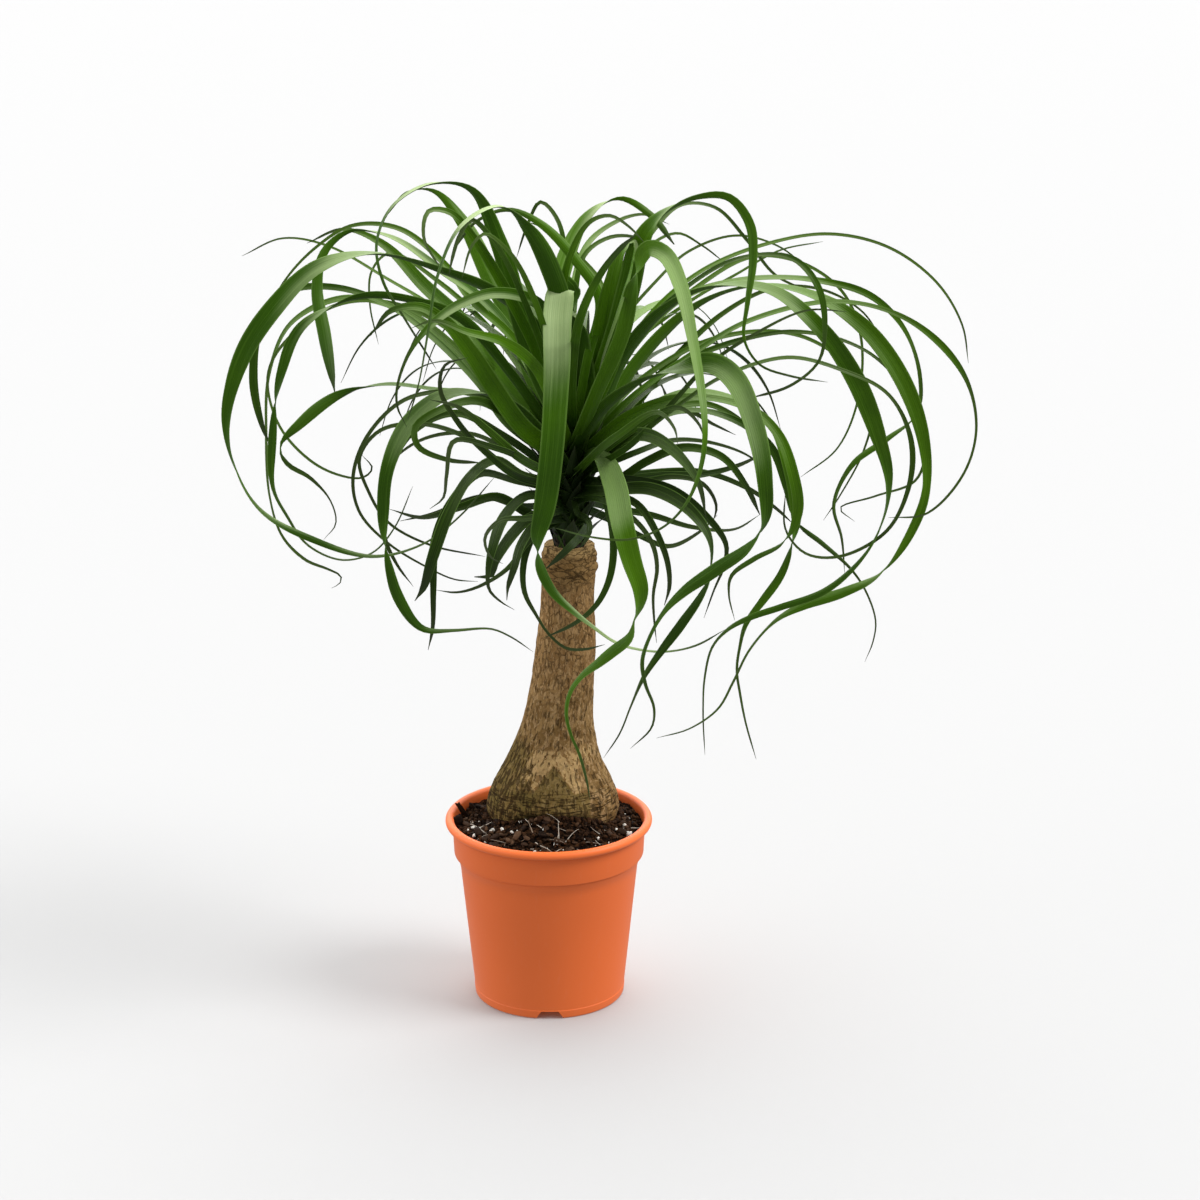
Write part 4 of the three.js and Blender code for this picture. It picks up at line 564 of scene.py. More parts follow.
class Shader(NodeMaker):
    """A material and the nodes that feed its surface."""

    def __init__(self, name):
        self.material = bpy.data.materials.new(name)
        self.material.use_nodes = True
        self.tree = self.material.node_tree
        self.surface = self.tree.nodes["Principled BSDF"]

    def place(self):
        return self.node("ShaderNodeTexCoord", {}, output="Object")

    def stretched(self, place, scale):
        return self.node("ShaderNodeVectorMath", {0: place, 1: scale}, operation="MULTIPLY")

    def noise(self, place, scale, detail=3.0, roughness=0.5):
        inputs = {"Vector": place, "Scale": scale, "Detail": detail, "Roughness": roughness}
        return self.node("ShaderNodeTexNoise", inputs)

    def cells(self, place, size):
        """Cells of a size in millimetres: how near the border is, and a number for each cell."""
        inputs = {"Vector": self.stretched(place, tuple(1 / length for length in size)), "Scale": 1.0}
        edge = self.node("ShaderNodeTexVoronoi", inputs, output="Distance", feature="DISTANCE_TO_EDGE")
        colour = self.node("ShaderNodeTexVoronoi", inputs, output="Color")
        return edge, self.node("ShaderNodeSeparateColor", {0: colour}, output="Red")

    def vertex_value(self, name):
        return self.node("ShaderNodeAttribute", {}, output="Fac", attribute_name=name)

    def vertex_values(self, names):
        return [self.vertex_value(name) for name in names.split()]

    def bump(self, height, distance):
        return self.node("ShaderNodeBump", {"Height": height, "Distance": distance, "Strength": 1.0})

    def finish(self, **inputs):
        """Feeds the surface shader and gives the material back."""
        self.feed(self.surface, {key.replace("_", " "): value for key, value in inputs.items()})
        return self.material


def opaque(colour):
    return (*colour, 1.0)


def shaded(colour, share, more=0.0):
    """A colour made darker or lighter, and greyer by what is added to each channel."""
    return tuple(channel * share + more for channel in colour)


def mesh_object(name, points, faces, material, values=None, smooth=True):
    """An object from points in millimetres, with a number for each point under each name in values."""
    mesh = bpy.data.meshes.new(name)
    mesh.from_pydata((np.asarray(points) * MM).tolist(), [], [list(map(int, face)) for face in faces])
    for key, numbers in (values or {}).items():
        attribute = mesh.attributes.new(key, "FLOAT", "POINT")
        attribute.data.foreach_set("value", np.asarray(numbers, dtype=np.float32))
    mesh.polygons.foreach_set("use_smooth", [smooth] * len(mesh.polygons))
    mesh.materials.append(material)
    mesh.update()
    made = bpy.data.objects.new(name, mesh)
    bpy.context.scene.collection.objects.link(made)
    return made


def add_piece(made, node):
    """Seats a piece on the plant, in place of a solid."""
    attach(made, "root")
    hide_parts(node)


def ring_faces(rows, sides, first=0):
    """The faces between rows of points that each close into a ring."""
    row, side = np.meshgrid(np.arange(rows - 1), np.arange(sides), indexing="ij")
    start = first + row * sides
    after = (side + 1) % sides
    quads = np.stack([start + side, start + after, start + sides + after, start + sides + side], axis=-1)
    return quads.reshape(-1, 4).tolist()


def closed_faces(rows, sides):
    """The faces of a tube of such rows, with both of its ends closed."""
    last = (rows - 1) * sides
    return ring_faces(rows, sides) + [list(range(sides))[::-1], list(range(last, last + sides))]


def unit(vectors):
    return vectors / np.linalg.norm(vectors, axis=-1, keepdims=True)


def spaced_angles(sides):
    return np.arange(sides) / sides * math.tau


def level_ring(radius, height, sides):
    """Points round the upright axis at one height."""
    angles = spaced_angles(sides)
    return np.stack([radius * np.cos(angles), radius * np.sin(angles), np.full(sides, height)], axis=1)


def facing(turn):
    """The level direction at a turn round the upright axis."""
    return np.array([math.cos(turn), math.sin(turn), 0])


def sideways(turn):
    """The level direction at right angles to the one at that turn."""
    return np.array([-math.sin(turn), math.cos(turn), 0])


def climbing(outward, lean):
    """The direction that leans outward from straight up."""
    return outward * math.sin(lean) + [0, 0, math.cos(lean)]


class Heap:
    """Many small closed bodies gathered in one mesh."""

    def __init__(self):
        self.points = []
        self.faces = []
        self.values = {}
        self.count = 0

    def add(self, points, faces, **values):
        self.faces += [[index + self.count for index in face] for face in faces]
        self.points.append(points)
        self.count += len(points)
        for key, numbers in values.items():
            self.values.setdefault(key, []).append(np.broadcast_to(numbers, len(points)))

    def build(self, name, material, smooth=True):
        values = {key: np.concatenate(numbers) for key, numbers in self.values.items()}
        return mesh_object(name, np.vstack(self.points), self.faces, material, values, smooth)


def rounded(corners, steps=5):
    """An outline with each corner turned into a short curve of the given reach."""
    points = []
    for index, (radius, height, reach) in enumerate(corners):
        here = np.array([radius, height], float)
        if not reach or index in (0, len(corners) - 1):
            points.append(here)
            continue
        ends = []
        for other in (corners[index - 1], corners[index + 1]):
            away = np.array(other[:2], float) - here
            ends.append(here + away * min(reach / np.linalg.norm(away), 0.45))
        for share in np.linspace(0, 1, steps):
            points.append((1 - share) ** 2 * ends[0] + 2 * share * (1 - share) * here + share**2 * ends[1])
    return points


def pot_outline():
    turns = np.radians(np.linspace(LIP["start"], LIP["end"], LIP["steps"]))
    lip = [
        (LIP["ring"] + LIP["radius"] * math.cos(turn), LIP["height"] + LIP["radius"] * math.sin(turn))
        for turn in turns
    ]
    return np.array([*rounded(POT_OUTSIDE), *lip, *rounded(POT_INSIDE)])


def turned_body(outline, sides):
    """The points and faces of an outline turned round the upright axis, closed at both ends."""
    inner = outline[1:-1]
    points = np.vstack([level_ring(radius, height, sides) for radius, height in inner])
    faces = ring_faces(len(inner), sides)
    last = (len(inner) - 1) * sides
    low, high = len(points), len(points) + 1
    faces += [[low, (side + 1) % sides, side] for side in range(sides)]
    faces += [[high, last + side, last + (side + 1) % sides] for side in range(sides)]
    ends = [[0, 0, outline[0, 1]], [0, 0, outline[-1, 1]]]
    return np.vstack([points, ends]), faces


def notch_body(turn):
    """The wedge that leaves one notch in the pot's foot."""
    below = 1
    slope = (NOTCH["bottom"] - NOTCH["top"]) / 2 / NOTCH["height"]
    low, high = NOTCH["bottom"] / 2 + below * slope, NOTCH["top"] / 2
    near, far = NOTCH["ring"] + NOTCH["reach"] * 2 / 3, NOTCH["ring"] - NOTCH["reach"] / 3
    outline = [(-low, -below), (low, -below), (high, NOTCH["height"]), (-high, NOTCH["height"])]
    points = np.array([(x, -y, z) for y in (near, far) for x, z in outline], float)
    faces = [[0, 1, 2, 3], [7, 6, 5, 4], [0, 4, 5, 1], [1, 5, 6, 2], [2, 6, 7, 3], [3, 7, 4, 0]]
    return turned(points, turn), faces


def turned(points, turn):
    cosine, sine = math.cos(turn), math.sin(turn)
    x, y = points[:, 0], points[:, 1]
    return np.stack([x * cosine - y * sine, x * sine + y * cosine, points[:, 2]], axis=1)


def drain_body(turn):
    sides = 24
    rings = [
        level_ring(DRAIN["radius"], DRAIN["height"] + rise, sides) - (0, DRAIN["ring"], 0)
        for rise in (-DRAIN["reach"], DRAIN["reach"])
    ]
    return turned(np.vstack(rings), turn), closed_faces(2, sides)


def plastic_material(settings):
    shader = Shader("terracotta plastic")
    place = shader.place()
    cloud = shader.noise(place, 9.0, 2.0)
    grain = shader.noise(place, 1400.0, 2.0)
    scuff = shader.ramp(shader.noise(shader.stretched(place, (60.0, 60.0, 14.0)), 5.0, 4.0, 0.65), 0.56, 0.8)
    height = shader.node("ShaderNodeSeparateXYZ", {0: place}, output="Z")
    # Painted highlight on the rolled lip, which faces up to the light
    lip = shader.ramp(height, (LIP["height"] - LIP["radius"] - 1) * MM, LIP["height"] * MM)
    base = shader.coated(
        opaque(shaded(settings.colour, 0.86)),
        (cloud, settings.colour),
        (scuff * 0.16, shaded(settings.colour, 0.8, 0.08)),
        # Painted highlight on the lip
        (lip * 0.6, settings.rim),
    )
    return shader.finish(
        Base_Color=base,
        Roughness=0.4 + 0.1 * cloud + 0.12 * scuff,
        Specular_IOR_Level=0.3,
        Normal=shader.bump(grain + 0.5 * cloud, 0.00006),
    )


class PALM_OT_pot(bpy.types.Operator):
    """Add the nursery pot with its rolled rim, collar, notches and drain holes"""

    bl_idname = "palm.pot"
    bl_label = "Pot"

    def execute(self, context):
        settings = context.scene.palm_pot
        outline = pot_outline()
        outline[:, 0] *= settings.width / MM / POT_WIDTH
        outline[:, 1] *= settings.height / MM / POT_HEIGHT
        points, faces = turned_body(outline, POT_SIDES)
        pot = mesh_object("nursery_pot", points, faces, plastic_material(settings))
        cutters = Heap()
        for index in range(NOTCH["count"]):
            cutters.add(*notch_body(index / NOTCH["count"] * math.tau))
        for index in range(DRAIN["count"]):
            cutters.add(*drain_body((index + 0.5) / DRAIN["count"] * math.tau))
        cutter = cutters.build("pot_cutters", pot.data.materials[0], smooth=False)
        cut = pot.modifiers.new("notches and drains", "BOOLEAN")
        cut.object = cutter
        cut.solver = "EXACT"
        apply_modifiers(pot)
        bpy.data.objects.remove(cutter)
        pot.data.set_sharp_from_angle(angle=math.radians(POT_CREASE))
        add_piece(pot, "pot")
        return {"FINISHED"}


def apply_modifiers(made):
    """Bakes an object's modifiers into a mesh of its own."""
    graph = bpy.context.evaluated_depsgraph_get()
    mesh = bpy.data.meshes.new_from_object(made.evaluated_get(graph))
    made.modifiers.clear()
    made.data = mesh


def soil_height(x, y):
    across, along = (x - SOIL["x"]) / SOIL["wide"], (y - SOIL["y"]) / SOIL["deep"]
    mound = SOIL["mound"] * np.exp(-across * across - along * along)
    lumps = np.sin(x / 4.1 + y / 9.3) + np.sin(y / 3.7 - x / 7.9) + np.sin((x + y) / 5.3)
    collar = SOIL["collar"] * np.exp(-(np.maximum(bulb_clearance(x, y), 0) / SOIL["collar_width"]) ** 2)
    return SOIL["level"] + mound + collar + SOIL["lump"] * lumps / 2


def crumbled_height(x, y):
    """The height of the mix's surface with its clods and crumbs."""
    flat = np.stack([x, y, np.zeros_like(x)], axis=1)
    clod, own = flakes(flat + 2.2 * warp(flat, 6, 11), CLODS["size"], 5)
    crumb, _ = flakes(flat + 0.8 * warp(flat, 3, 17), CLODS["crumb_size"], 23)
    rise = CLODS["rise"] * np.minimum(clod, 0.5) * (0.4 + own) + CLODS["crumb_rise"] * np.minimum(crumb, 0.6)
    grit = CLODS["grit_rise"] * layered_noise(flat, CLODS["grit_size"], 31)
    return soil_height(x, y) - CLODS["sunk"] + rise + grit


def warp(points, size, seed):
    return np.stack([smooth_noise(points, size, seed + axis) for axis in range(3)], axis=1)


def soil_material(settings):
    shader = Shader("potting mix")
    place = shader.place()
    patches = shader.ramp(shader.noise(place, 160.0, 4.0, 0.6), 0.42, 0.66)
    specks = shader.ramp(shader.noise(place, 900.0, 2.0), 0.62, 0.72)
    # Painted shade in the hollows of the mix
    hollow_shade = shader.vertex_value("hollow_shade")
    base = shader.coated(
        opaque(settings.dark),
        (patches, settings.brown),
        (specks * 0.5, settings.bark),
        (hollow_shade, HOLLOW_SHADE_COLOUR),
    )
    return shader.finish(
        Base_Color=base,
        Roughness=0.78 + 0.2 * patches,
        Specular_IOR_Level=0.04,
        Normal=shader.bump(shader.noise(place, 1100.0, 4.0, 0.7), 0.0006),
    )


class PALM_OT_potting_mix(bpy.types.Operator):
    """Add the potting mix with its clods and crumbs"""

    bl_idname = "palm.potting_mix"
    bl_label = "Potting Mix"

    def execute(self, context):
        settings = context.scene.palm_mix
        sides = 400
        reach = SOIL_EDGE * (1 - np.linspace(0, 1, 110)[:-1] ** 1.5 * 0.995)
        surface = np.vstack([level_ring(radius, 0.0, sides) for radius in reach])
        x, y = surface[:, 0], surface[:, 1]
        surface[:, 2] = crumbled_height(x, y)
        sunk = soil_height(x, y) - surface[:, 2]
        wall = [level_ring(radius, z, sides) for radius, z in SOIL_WALL]
        points = np.vstack([*wall, surface])
        faces = closed_faces(len(wall) + len(reach), sides)
        # Painted shade in the hollows, where the crumbled surface sinks below the mix's level
        hollow_shade = np.concatenate([np.zeros(len(wall) * sides), smoothstep(sunk, 0.1, 1.5)])
        mix = mesh_object("potting_mix_body", points, faces, soil_material(settings), {"hollow_shade": hollow_shade})
        add_piece(mix, "potting_mix")
        return {"FINISHED"}


def ball_mesh(rings, sides):
    """A unit ball's points and faces."""
    points = [[0, 0, -1]]
    for ring in range(1, rings):
        lift = math.pi * (ring / rings - 0.5)
        points += [[math.cos(lift) * math.cos(turn), math.cos(lift) * math.sin(turn), math.sin(lift)]
                   for turn in spaced_angles(sides)]
    points.append([0, 0, 1])
    faces = [[0, 1 + (side + 1) % sides, 1 + side] for side in range(sides)]
    faces += ring_faces(rings - 1, sides, 1)
    last = 1 + (rings - 2) * sides
    faces += [[last + side, last + (side + 1) % sides, len(points) - 1] for side in range(sides)]
    return np.array(points, float), faces


def tumbled(points, generator, steepness=1.0):
    """Points turned at random, leaning at most by the steepness in radians."""
    spin, lean, toward = generator.random(3) * [math.tau, steepness, math.tau]
    points = turned(points, spin)
    cosine, sine = math.cos(lean), math.sin(lean)
    leaned = np.stack([points[:, 0] * cosine + points[:, 2] * sine, points[:, 1],
                       points[:, 2] * cosine - points[:, 0] * sine], axis=1)
    return turned(leaned, toward)


def open_soil_spot(generator, edge, reach=math.inf):
    """A random place on the mix, clear of the bulb and of the pot's wall, and within reach of the bulb."""
    while True:
        x, y = (generator.random(2) * 2 - 1) * SOIL_EDGE
        if math.hypot(x, y) < SOIL_EDGE - edge and 1 < bulb_clearance(x, y) < reach:
            return x, y


def bulb_clearance(x, y):
    """How far a place at the height of the mix is from the bulb's side."""
    axis = trunk_axis(np.array([SOIL["level"]]))[0]
    depth = 1 - BULB_FLATTEN["share"]
    return np.hypot(x - axis[0], (y - axis[1]) / depth) - BULB_AT_MIX


def surface_z(x, y):
    return float(soil_height(np.array([x]), np.array([y]))[0])


def chip_points(ball, generator, size, flatness):
    """A broken flake: a ball squeezed to a slab with torn sides."""
    shape = size * np.array([1.0, 0.45 + 0.4 * generator.random(), flatness])
    angular = np.sign(ball) * np.abs(ball) ** 0.7
    torn = 1 + 0.35 * smooth_noise(ball * 2.4 + generator.random(3) * 50, 1.0, 3)[:, None]
    return angular * torn * shape


def leaning_chip(ball, generator, foot, tip, size):
    """A flake of bark that stands with its foot in the mix."""
    along = (tip - foot) / 2
    aside = np.cross(along, (0.3, 1.0, 0.2))
    aside *= size / np.linalg.norm(aside)
    through = np.cross(along, aside)
    through *= 0.35 * size / np.linalg.norm(through)
    flake = chip_points(ball, generator, 1.0, 1.0) / (1.0, 0.65, 1.0)
    return foot + along + flake @ np.array([along, aside, through])


def bits_material(name, first, second, roughness, scale):
    """A finish that varies from bit to bit between two colours."""
    shader = Shader(name)
    place = shader.place()
    tone = shader.vertex_value("tone")
    grain = shader.noise(shader.stretched(place, (1.0, 1.0, 2.5)), scale, 4.0, 0.65)
    worn = shader.ramp(grain, 0.35, 0.75) * 0.6
    base = shader.coated(opaque(first), (tone, second), (worn, shaded(second, 0.35)))
    return shader.finish(
        Base_Color=base,
        Roughness=roughness,
        Specular_IOR_Level=0.08,
        Normal=shader.bump(grain, 0.0005),
    )


def crumb_heap(generator, count):
    """Small crumbs all over the mix, a quarter of them close round the bulb."""
    ball, faces = ball_mesh(4, 6)
    heap = Heap()
    for index in range(count):
        x, y = open_soil_spot(generator, CRUMB["edge"], CRUMB["near"] if index % 4 == 0 else math.inf)
        size = CRUMB["least"] + CRUMB["more"] * generator.random() ** 2
        points = tumbled(chip_points(ball, generator, size, CRUMB["flat"]), generator)
        heap.add(points + (x, y, surface_z(x, y) + 0.2 * size), faces, tone=generator.random())
    return heap


def chip_heap(generator, count):
    """Bark chips at random, then those that stand out, then those that stand up."""
    ball, faces = ball_mesh(7, 9)
    heap = Heap()
    for _ in range(count):
        x, y = open_soil_spot(generator, CHIP["edge"])
        size = CHIP["least"] + CHIP["more"] * generator.random() ** 2
        points = tumbled(chip_points(ball, generator, size, CHIP["flat"]), generator, 0.9)
        lift = 0.25 * size * generator.random()
        heap.add(points + (x, y, surface_z(x, y) + lift), faces, tone=generator.random() ** 1.3)
    for x, y, size, lean, tone in NOTED_CHIPS:
        points = chip_points(ball, generator, 0.62 * size, 0.34)
        across, along, up = tumbled(points, generator, 0.3).T
        cosine, sine = math.cos(lean), math.sin(lean)
        points = np.stack([across, along * cosine - up * sine, up * cosine + along * sine], axis=1)
        heap.add(points + (x, y, surface_z(x, y) + 0.4 * size), faces, tone=tone)
    for foot, tip, size in LEANING_CHIPS:
        heap.add(leaning_chip(ball, generator, np.array(foot), np.array(tip), size), faces, tone=0.1)
    return heap


def grain_heap(generator, count):
    """White grains at random, with those that stand out."""
    ball, faces = ball_mesh(7, 9)
    heap = Heap()
    places = []
    for _ in range(count):
        x, y = open_soil_spot(generator, GRAIN["edge"])
        places.append((x, y, GRAIN["least"] + GRAIN["more"] * generator.random() ** 2))
    for x, y, size in places + NOTED_GRAINS:
        points = tumbled(chip_points(ball, generator, size, GRAIN["flat"]), generator)
        heap.add(points + (x, y, surface_z(x, y) + 0.45 * size), faces, tone=generator.random())
    return heap


def fibre_heap(generator, count):
    """Thin roots and straws at random, then those that stand out."""
    heap = Heap()
    for _ in range(count):
        x, y = open_soil_spot(generator, FIBRE["edge"])
        length = FIBRE["least"] + FIBRE["more"] * generator.random() ** 1.5
        add_fibre(heap, generator, (x, y), length, generator.random() * math.tau, FIBRE["rise"])
    for x, y, length, toward, rise in NOTED_FIBRES:
        add_fibre(heap, generator, (x, y), length, toward, rise)
    return heap


class PALM_OT_soil_bits(bpy.types.Operator):
    """Add the loose crumbs, bark chips, white grains and fibres on the mix"""

    bl_idname = "palm.soil_bits"
    bl_label = "Bark Chips, Grains and Fibres"

    def execute(self, context):
        settings = context.scene.palm_mix
        generator = np.random.default_rng(MIX_SEED)
        crumbs = crumb_heap(generator, settings.crumbs)
        chips = chip_heap(generator, settings.chips)
        grains = grain_heap(generator, settings.grains)
        fibres = fibre_heap(generator, settings.fibres)
        for heap, name, *finish in (
            (crumbs, "soil_crumbs", "dark crumbs", settings.dark, settings.brown, 0.85, 500.0),
            (chips, "bark_chips", "bark chips", settings.dark, settings.bark, 0.7, 260.0),
            (grains, "white_grains", "white grains", *GRAIN["colours"], 0.8, 300.0),
            (fibres, "soil_fibres", "pale fibres", *FIBRE["colours"], 0.6, 300.0),
        ):
            add_piece(heap.build(name, bits_material(*finish)), "potting_mix")
        return {"FINISHED"}


def add_fibre(heap, generator, start, length, toward, rise):
    """A thin root or straw that lies on the mix or sticks up from it."""
    rows, sides = 12, 5
    share = np.linspace(0, 1, rows)
    bend = toward + 1.2 * (generator.random() - 0.5) * share
    step = length / rows
    x = start[0] + np.cumsum(np.cos(bend) * math.cos(rise)) * step
    y = start[1] + np.cumsum(np.sin(bend) * math.cos(rise)) * step
    z = soil_height(x, y) + 0.5 + length * math.sin(rise) * share * (1.4 - 0.4 * share)
    centres = np.stack([x, y, z], axis=1)
    width = (0.22 + 0.25 * generator.random()) * (1.1 - 0.75 * share)
    points, faces = tube(centres, width, sides)
    heap.add(points, faces, tone=generator.random() ** 0.6)


def tube(centres, half_widths, sides):
    """A closed round rod along a line of centres."""
    tangents = unit(np.gradient(centres, axis=0))
    side = unit(np.cross(tangents, [0.3, 0.2, 0.93]))
    other = np.cross(tangents, side)
    angles = spaced_angles(sides)
    ring = np.cos(angles)[None, :, None] * side[:, None] + np.sin(angles)[None, :, None] * other[:, None]
    points = centres[:, None] + ring * np.asarray(half_widths)[:, None, None]
    return points.reshape(-1, 3), closed_faces(len(centres), sides)


def trunk_axis(z):
    """The middle of the trunk at each height."""
    lean = smoothstep(z, TRUNK_LEAN["start"], TRUNK_LEAN["end"])
    neck = TRUNK_LEAN["neck"] * np.maximum(0, z - TRUNK_LEAN["end"])
    x = TRUNK_LEAN["foot"] + TRUNK_LEAN["shift"] * lean + neck
    return np.stack([x, TRUNK_LEAN["back"] * (1 - lean), z], axis=-1)


def smooth_route(points, samples=24):
    """Close points on a centripetal Catmull-Rom curve through the given ones."""
    points = np.asarray(points, float)
    guarded = np.vstack([2 * points[0] - points[1], points, 2 * points[-1] - points[-2]])
    share = np.linspace(0, 1, samples, endpoint=False)[:, None]
    curve = []
    for a, b, c, d in zip(guarded, guarded[1:], guarded[2:], guarded[3:]):
        first, middle, last = (max(np.sum((q - p) ** 2) ** 0.25, 1e-4) for p, q in ((a, b), (b, c), (c, d)))
        leave = ((b - a) / first - (c - a) / (first + middle) + (c - b) / middle) * middle
        arrive = ((c - b) / middle - (d - b) / (middle + last) + (d - c) / last) * middle
        curve.append(b + leave * share + (3 * (c - b) - 2 * leave - arrive) * share**2
                     + (2 * (b - c) + leave + arrive) * share**3)
    return np.vstack([*curve, points[-1:]])


def trunk_curve():
    """The heights and half widths of the trunk's side, close together."""
    return smooth_route([(height, radius, 0) for height, radius in TRUNK_PROFILE])[:, :2].T


def trunk_half_width(z):
    return np.interp(z, *trunk_curve())


def trunk_points(z, angle):
    """The trunk's bare surface, before its bark."""
    axis = trunk_axis(z)
    depth = 1 - BULB_FLATTEN["share"] * (1 - smoothstep(z, BULB_FLATTEN["start"], BULB_FLATTEN["end"]))
    ripple = 1 + 0.014 * np.sin(3 * angle + z / 31) + 0.01 * np.sin(7 * angle - z / 23)
    reach = trunk_half_width(z) * ripple
    outward = np.stack([np.cos(angle), depth * np.sin(angle), np.zeros_like(z)], axis=1)
    return axis + outward * reach[:, None], outward


def bark_place(z, angle):
    """Where each point lies on the bark: two lengths round the trunk, then how far up along its side."""
    heights, widths = trunk_curve()
    climbed = np.concatenate([[0], np.cumsum(np.hypot(np.diff(heights), np.diff(widths)))])
    girth = BARK["neck_girth"] * (trunk_half_width(z) / BARK["neck_girth"]) ** BARK["widening"]
    return np.stack([girth * np.cos(angle), girth * np.sin(angle), np.interp(z, heights, climbed)], axis=1)


def bark_rise(spot, z):
    """How far the bark stands out at each point."""
    plate, band, ridge = (3.6, 3.6, 8), (13, 13, 4.5), (3.4, 3.4, 20)
    bulb = 1 - smoothstep(z, *BARK["bulb"])
    top = smoothstep(z, *BARK["top"])
    gap, own = flakes(spot + 1.6 * warp(spot, (7, 7, 13), 41), plate, 61)
    band_gap, band_own = flakes(spot + 1.5 * warp(spot, (9, 9, 5), 43), band, 97)
    plates = 0.45 * (own - 0.5) + 0.25 * np.minimum(gap, 0.5)
    bands = 1.5 * (band_own - 0.5) + 0.9 * np.minimum(band_gap, 0.6)
    return plates * (1 - top) * (1 + 0.5 * bulb) + bands * top + 0.5 * layered_noise(spot, ridge, 131)


def bark_masks(points, angle, z):
    """Where the bark is golden, olive and grey-green."""
    part = BULB_FRONT
    x = points[:, 0]
    front = np.cos(angle + math.pi / 2)
    middle = np.abs(x - part["x"])
    arch = 1 - smoothstep(middle + part["arch_slope"] * (z - part["arch_height"]), *part["arch"])
    foot = (1 - smoothstep(z, *part["foot"])) * (1 - smoothstep(middle, *part["foot_sides"]))
    inside = np.maximum(arch, foot) * (front > 0.2)
    right = smoothstep(x, *part["right"])
    golden = smoothstep(0.8 * layered_noise(points, (16, 16, 22), 211) + 0.9 * front - 0.35, -0.1, 0.5)
    golden *= smoothstep(z + part["golden_drop"] * right, *part["golden"])
    golden *= (1 - smoothstep(z, *part["golden_end"])) * (1 - inside)
    golden *= 0.45 + 0.55 * smoothstep(x, *part["golden_left"])
    golden *= 1 - 0.5 * smoothstep(x, *part["golden_right"])
    olive = smoothstep(layered_noise(points, (22, 22, 17), 233), 0.1, 0.4)
    olive *= (1 - smoothstep(z, *part["olive_end"])) * (1 - 0.7 * right)
    olive = np.maximum(olive * (1 - golden), inside)
    sides = np.maximum(smoothstep(-x, *part["mossy_left"]), 0.2 * smoothstep(x, *part["mossy_right"]))
    mossy = sides * (1 - smoothstep(z, *part["mossy_end"]))
    return golden, olive, mossy


def bark_material(settings):
    shader = Shader("palm bark")
    round_x, round_y, climb = shader.vertex_values("round_x round_y climb")
    golden, olive, mossy, neck = shader.vertex_values("golden olive mossy neck")
    top, cap, cave, bottom = shader.vertex_values("top cap cave bottom")
    low = 1.0 - neck
    plain = 1.0 - top
    spot = shader.node("ShaderNodeCombineXYZ", {0: round_x, 1: round_y, 2: climb})
    slit = shader.noise(shader.stretched(spot, (0.6, 0.6, 0.12)), 1.0, 2.0, 0.55)
    crack = shader.noise(shader.stretched(spot, (0.14, 0.14, 0.7)), 1.0, 2.0, 0.55)
    crack = shader.ramp(crack, 0.53, 0.59) * bottom
    drift = shader.node("ShaderNodeTexNoise", {"Vector": spot, "Scale": 0.17, "Detail": 3.0}, output="Color")
    spot = shader.node(
        "ShaderNodeVectorMath", {0: drift, 1: (6.0, 6.0, 8.0), 2: spot}, operation="MULTIPLY_ADD")
    plate_edge, plate = shader.cells(spot, (4.2, 4.2, 10.5))
    fleck_edge, fleck = shader.cells(spot, (1.5, 1.5, 4.4))
    band_edge, band = shader.cells(spot, (15.0, 15.0, 3.8))
    _, stroke = shader.cells(spot, (1.5, 1.5, 5.2))
    patchy = shader.noise(spot, 0.13, 3.0, 0.6)
    grain = shader.noise(shader.stretched(spot, (1.0, 1.0, 0.25)), 1.5, 4.0, 0.7)

    seam = (1.0 - shader.ramp(plate_edge, 0.02, 0.12)) * shader.ramp(patchy, 0.34, 0.6) * (0.2 + 0.4 * neck)
    hair = (1.0 - shader.ramp(fleck_edge, 0.0, 0.14)) * (0.1 + 0.1 * neck)
    dash = shader.ramp(slit + 0.08 * mossy * low + 0.03 * olive - 0.04 * neck, 0.57, 0.63)
    rings = (1.0 - shader.ramp(band_edge, 0.02, 0.1)) * top * 0.7
    mossy_share = shader.ramp(mossy + 0.5 * patchy + 0.25 * plate, 0.55, 1.05)
    olive_share = shader.ramp(olive + 0.5 * patchy + 0.2 * fleck, 0.75, 0.95)
    golden_share = shader.ramp(golden * (0.42 + 0.8 * stroke) + 0.25 * patchy, 0.54, 0.72)
    deepest = shaded(settings.dark, 0.14)
    base = shader.coated(
        opaque(settings.dark),
        (shader.ramp(plate * 0.8 + patchy * 0.7, 0.4, 1.15), settings.tan),
        (shader.ramp(fleck, 0.5, 0.95) * 0.6, settings.pale),
        (shader.ramp(grain, 0.52, 0.72) * 0.35, settings.pale),
        (neck * 0.4, settings.neck),
        (low * 0.24, deepest),
        (mossy_share * 0.66, settings.olive),
        (olive_share * 0.66, settings.olive),
        (golden_share * 0.88, settings.gold),
        (shader.ramp(stroke, 0.76, 0.94) * golden * 0.45, settings.pale),
        ((1.0 - shader.ramp(stroke, 0.14, 0.34)) * golden * 0.6, settings.dark),
        (top * 0.75, shader.coated(opaque(settings.dark), (band, shaded(settings.tan, 0.72)))),
        (cap * 0.55, settings.gold),
        (hair * plain, deepest),
        (seam * plain, deepest),
        (dash * (0.42 + 0.22 * low + 0.12 * mossy) * plain, deepest),
        (rings, deepest),
        (crack * 0.85, deepest),
        # Painted shade in the cave between the mix and the bulb
        (cave, CAVE_SHADE_COLOUR),
    )
    height = plate * 0.3 + fleck * 0.3 + grain * 0.6 - seam - hair - dash * 1.4 - rings - crack
    return shader.finish(
        Base_Color=base,
        Roughness=0.82 + 0.12 * grain,
        Specular_IOR_Level=0.06,
        Normal=shader.bump(height, 0.0007),
    )


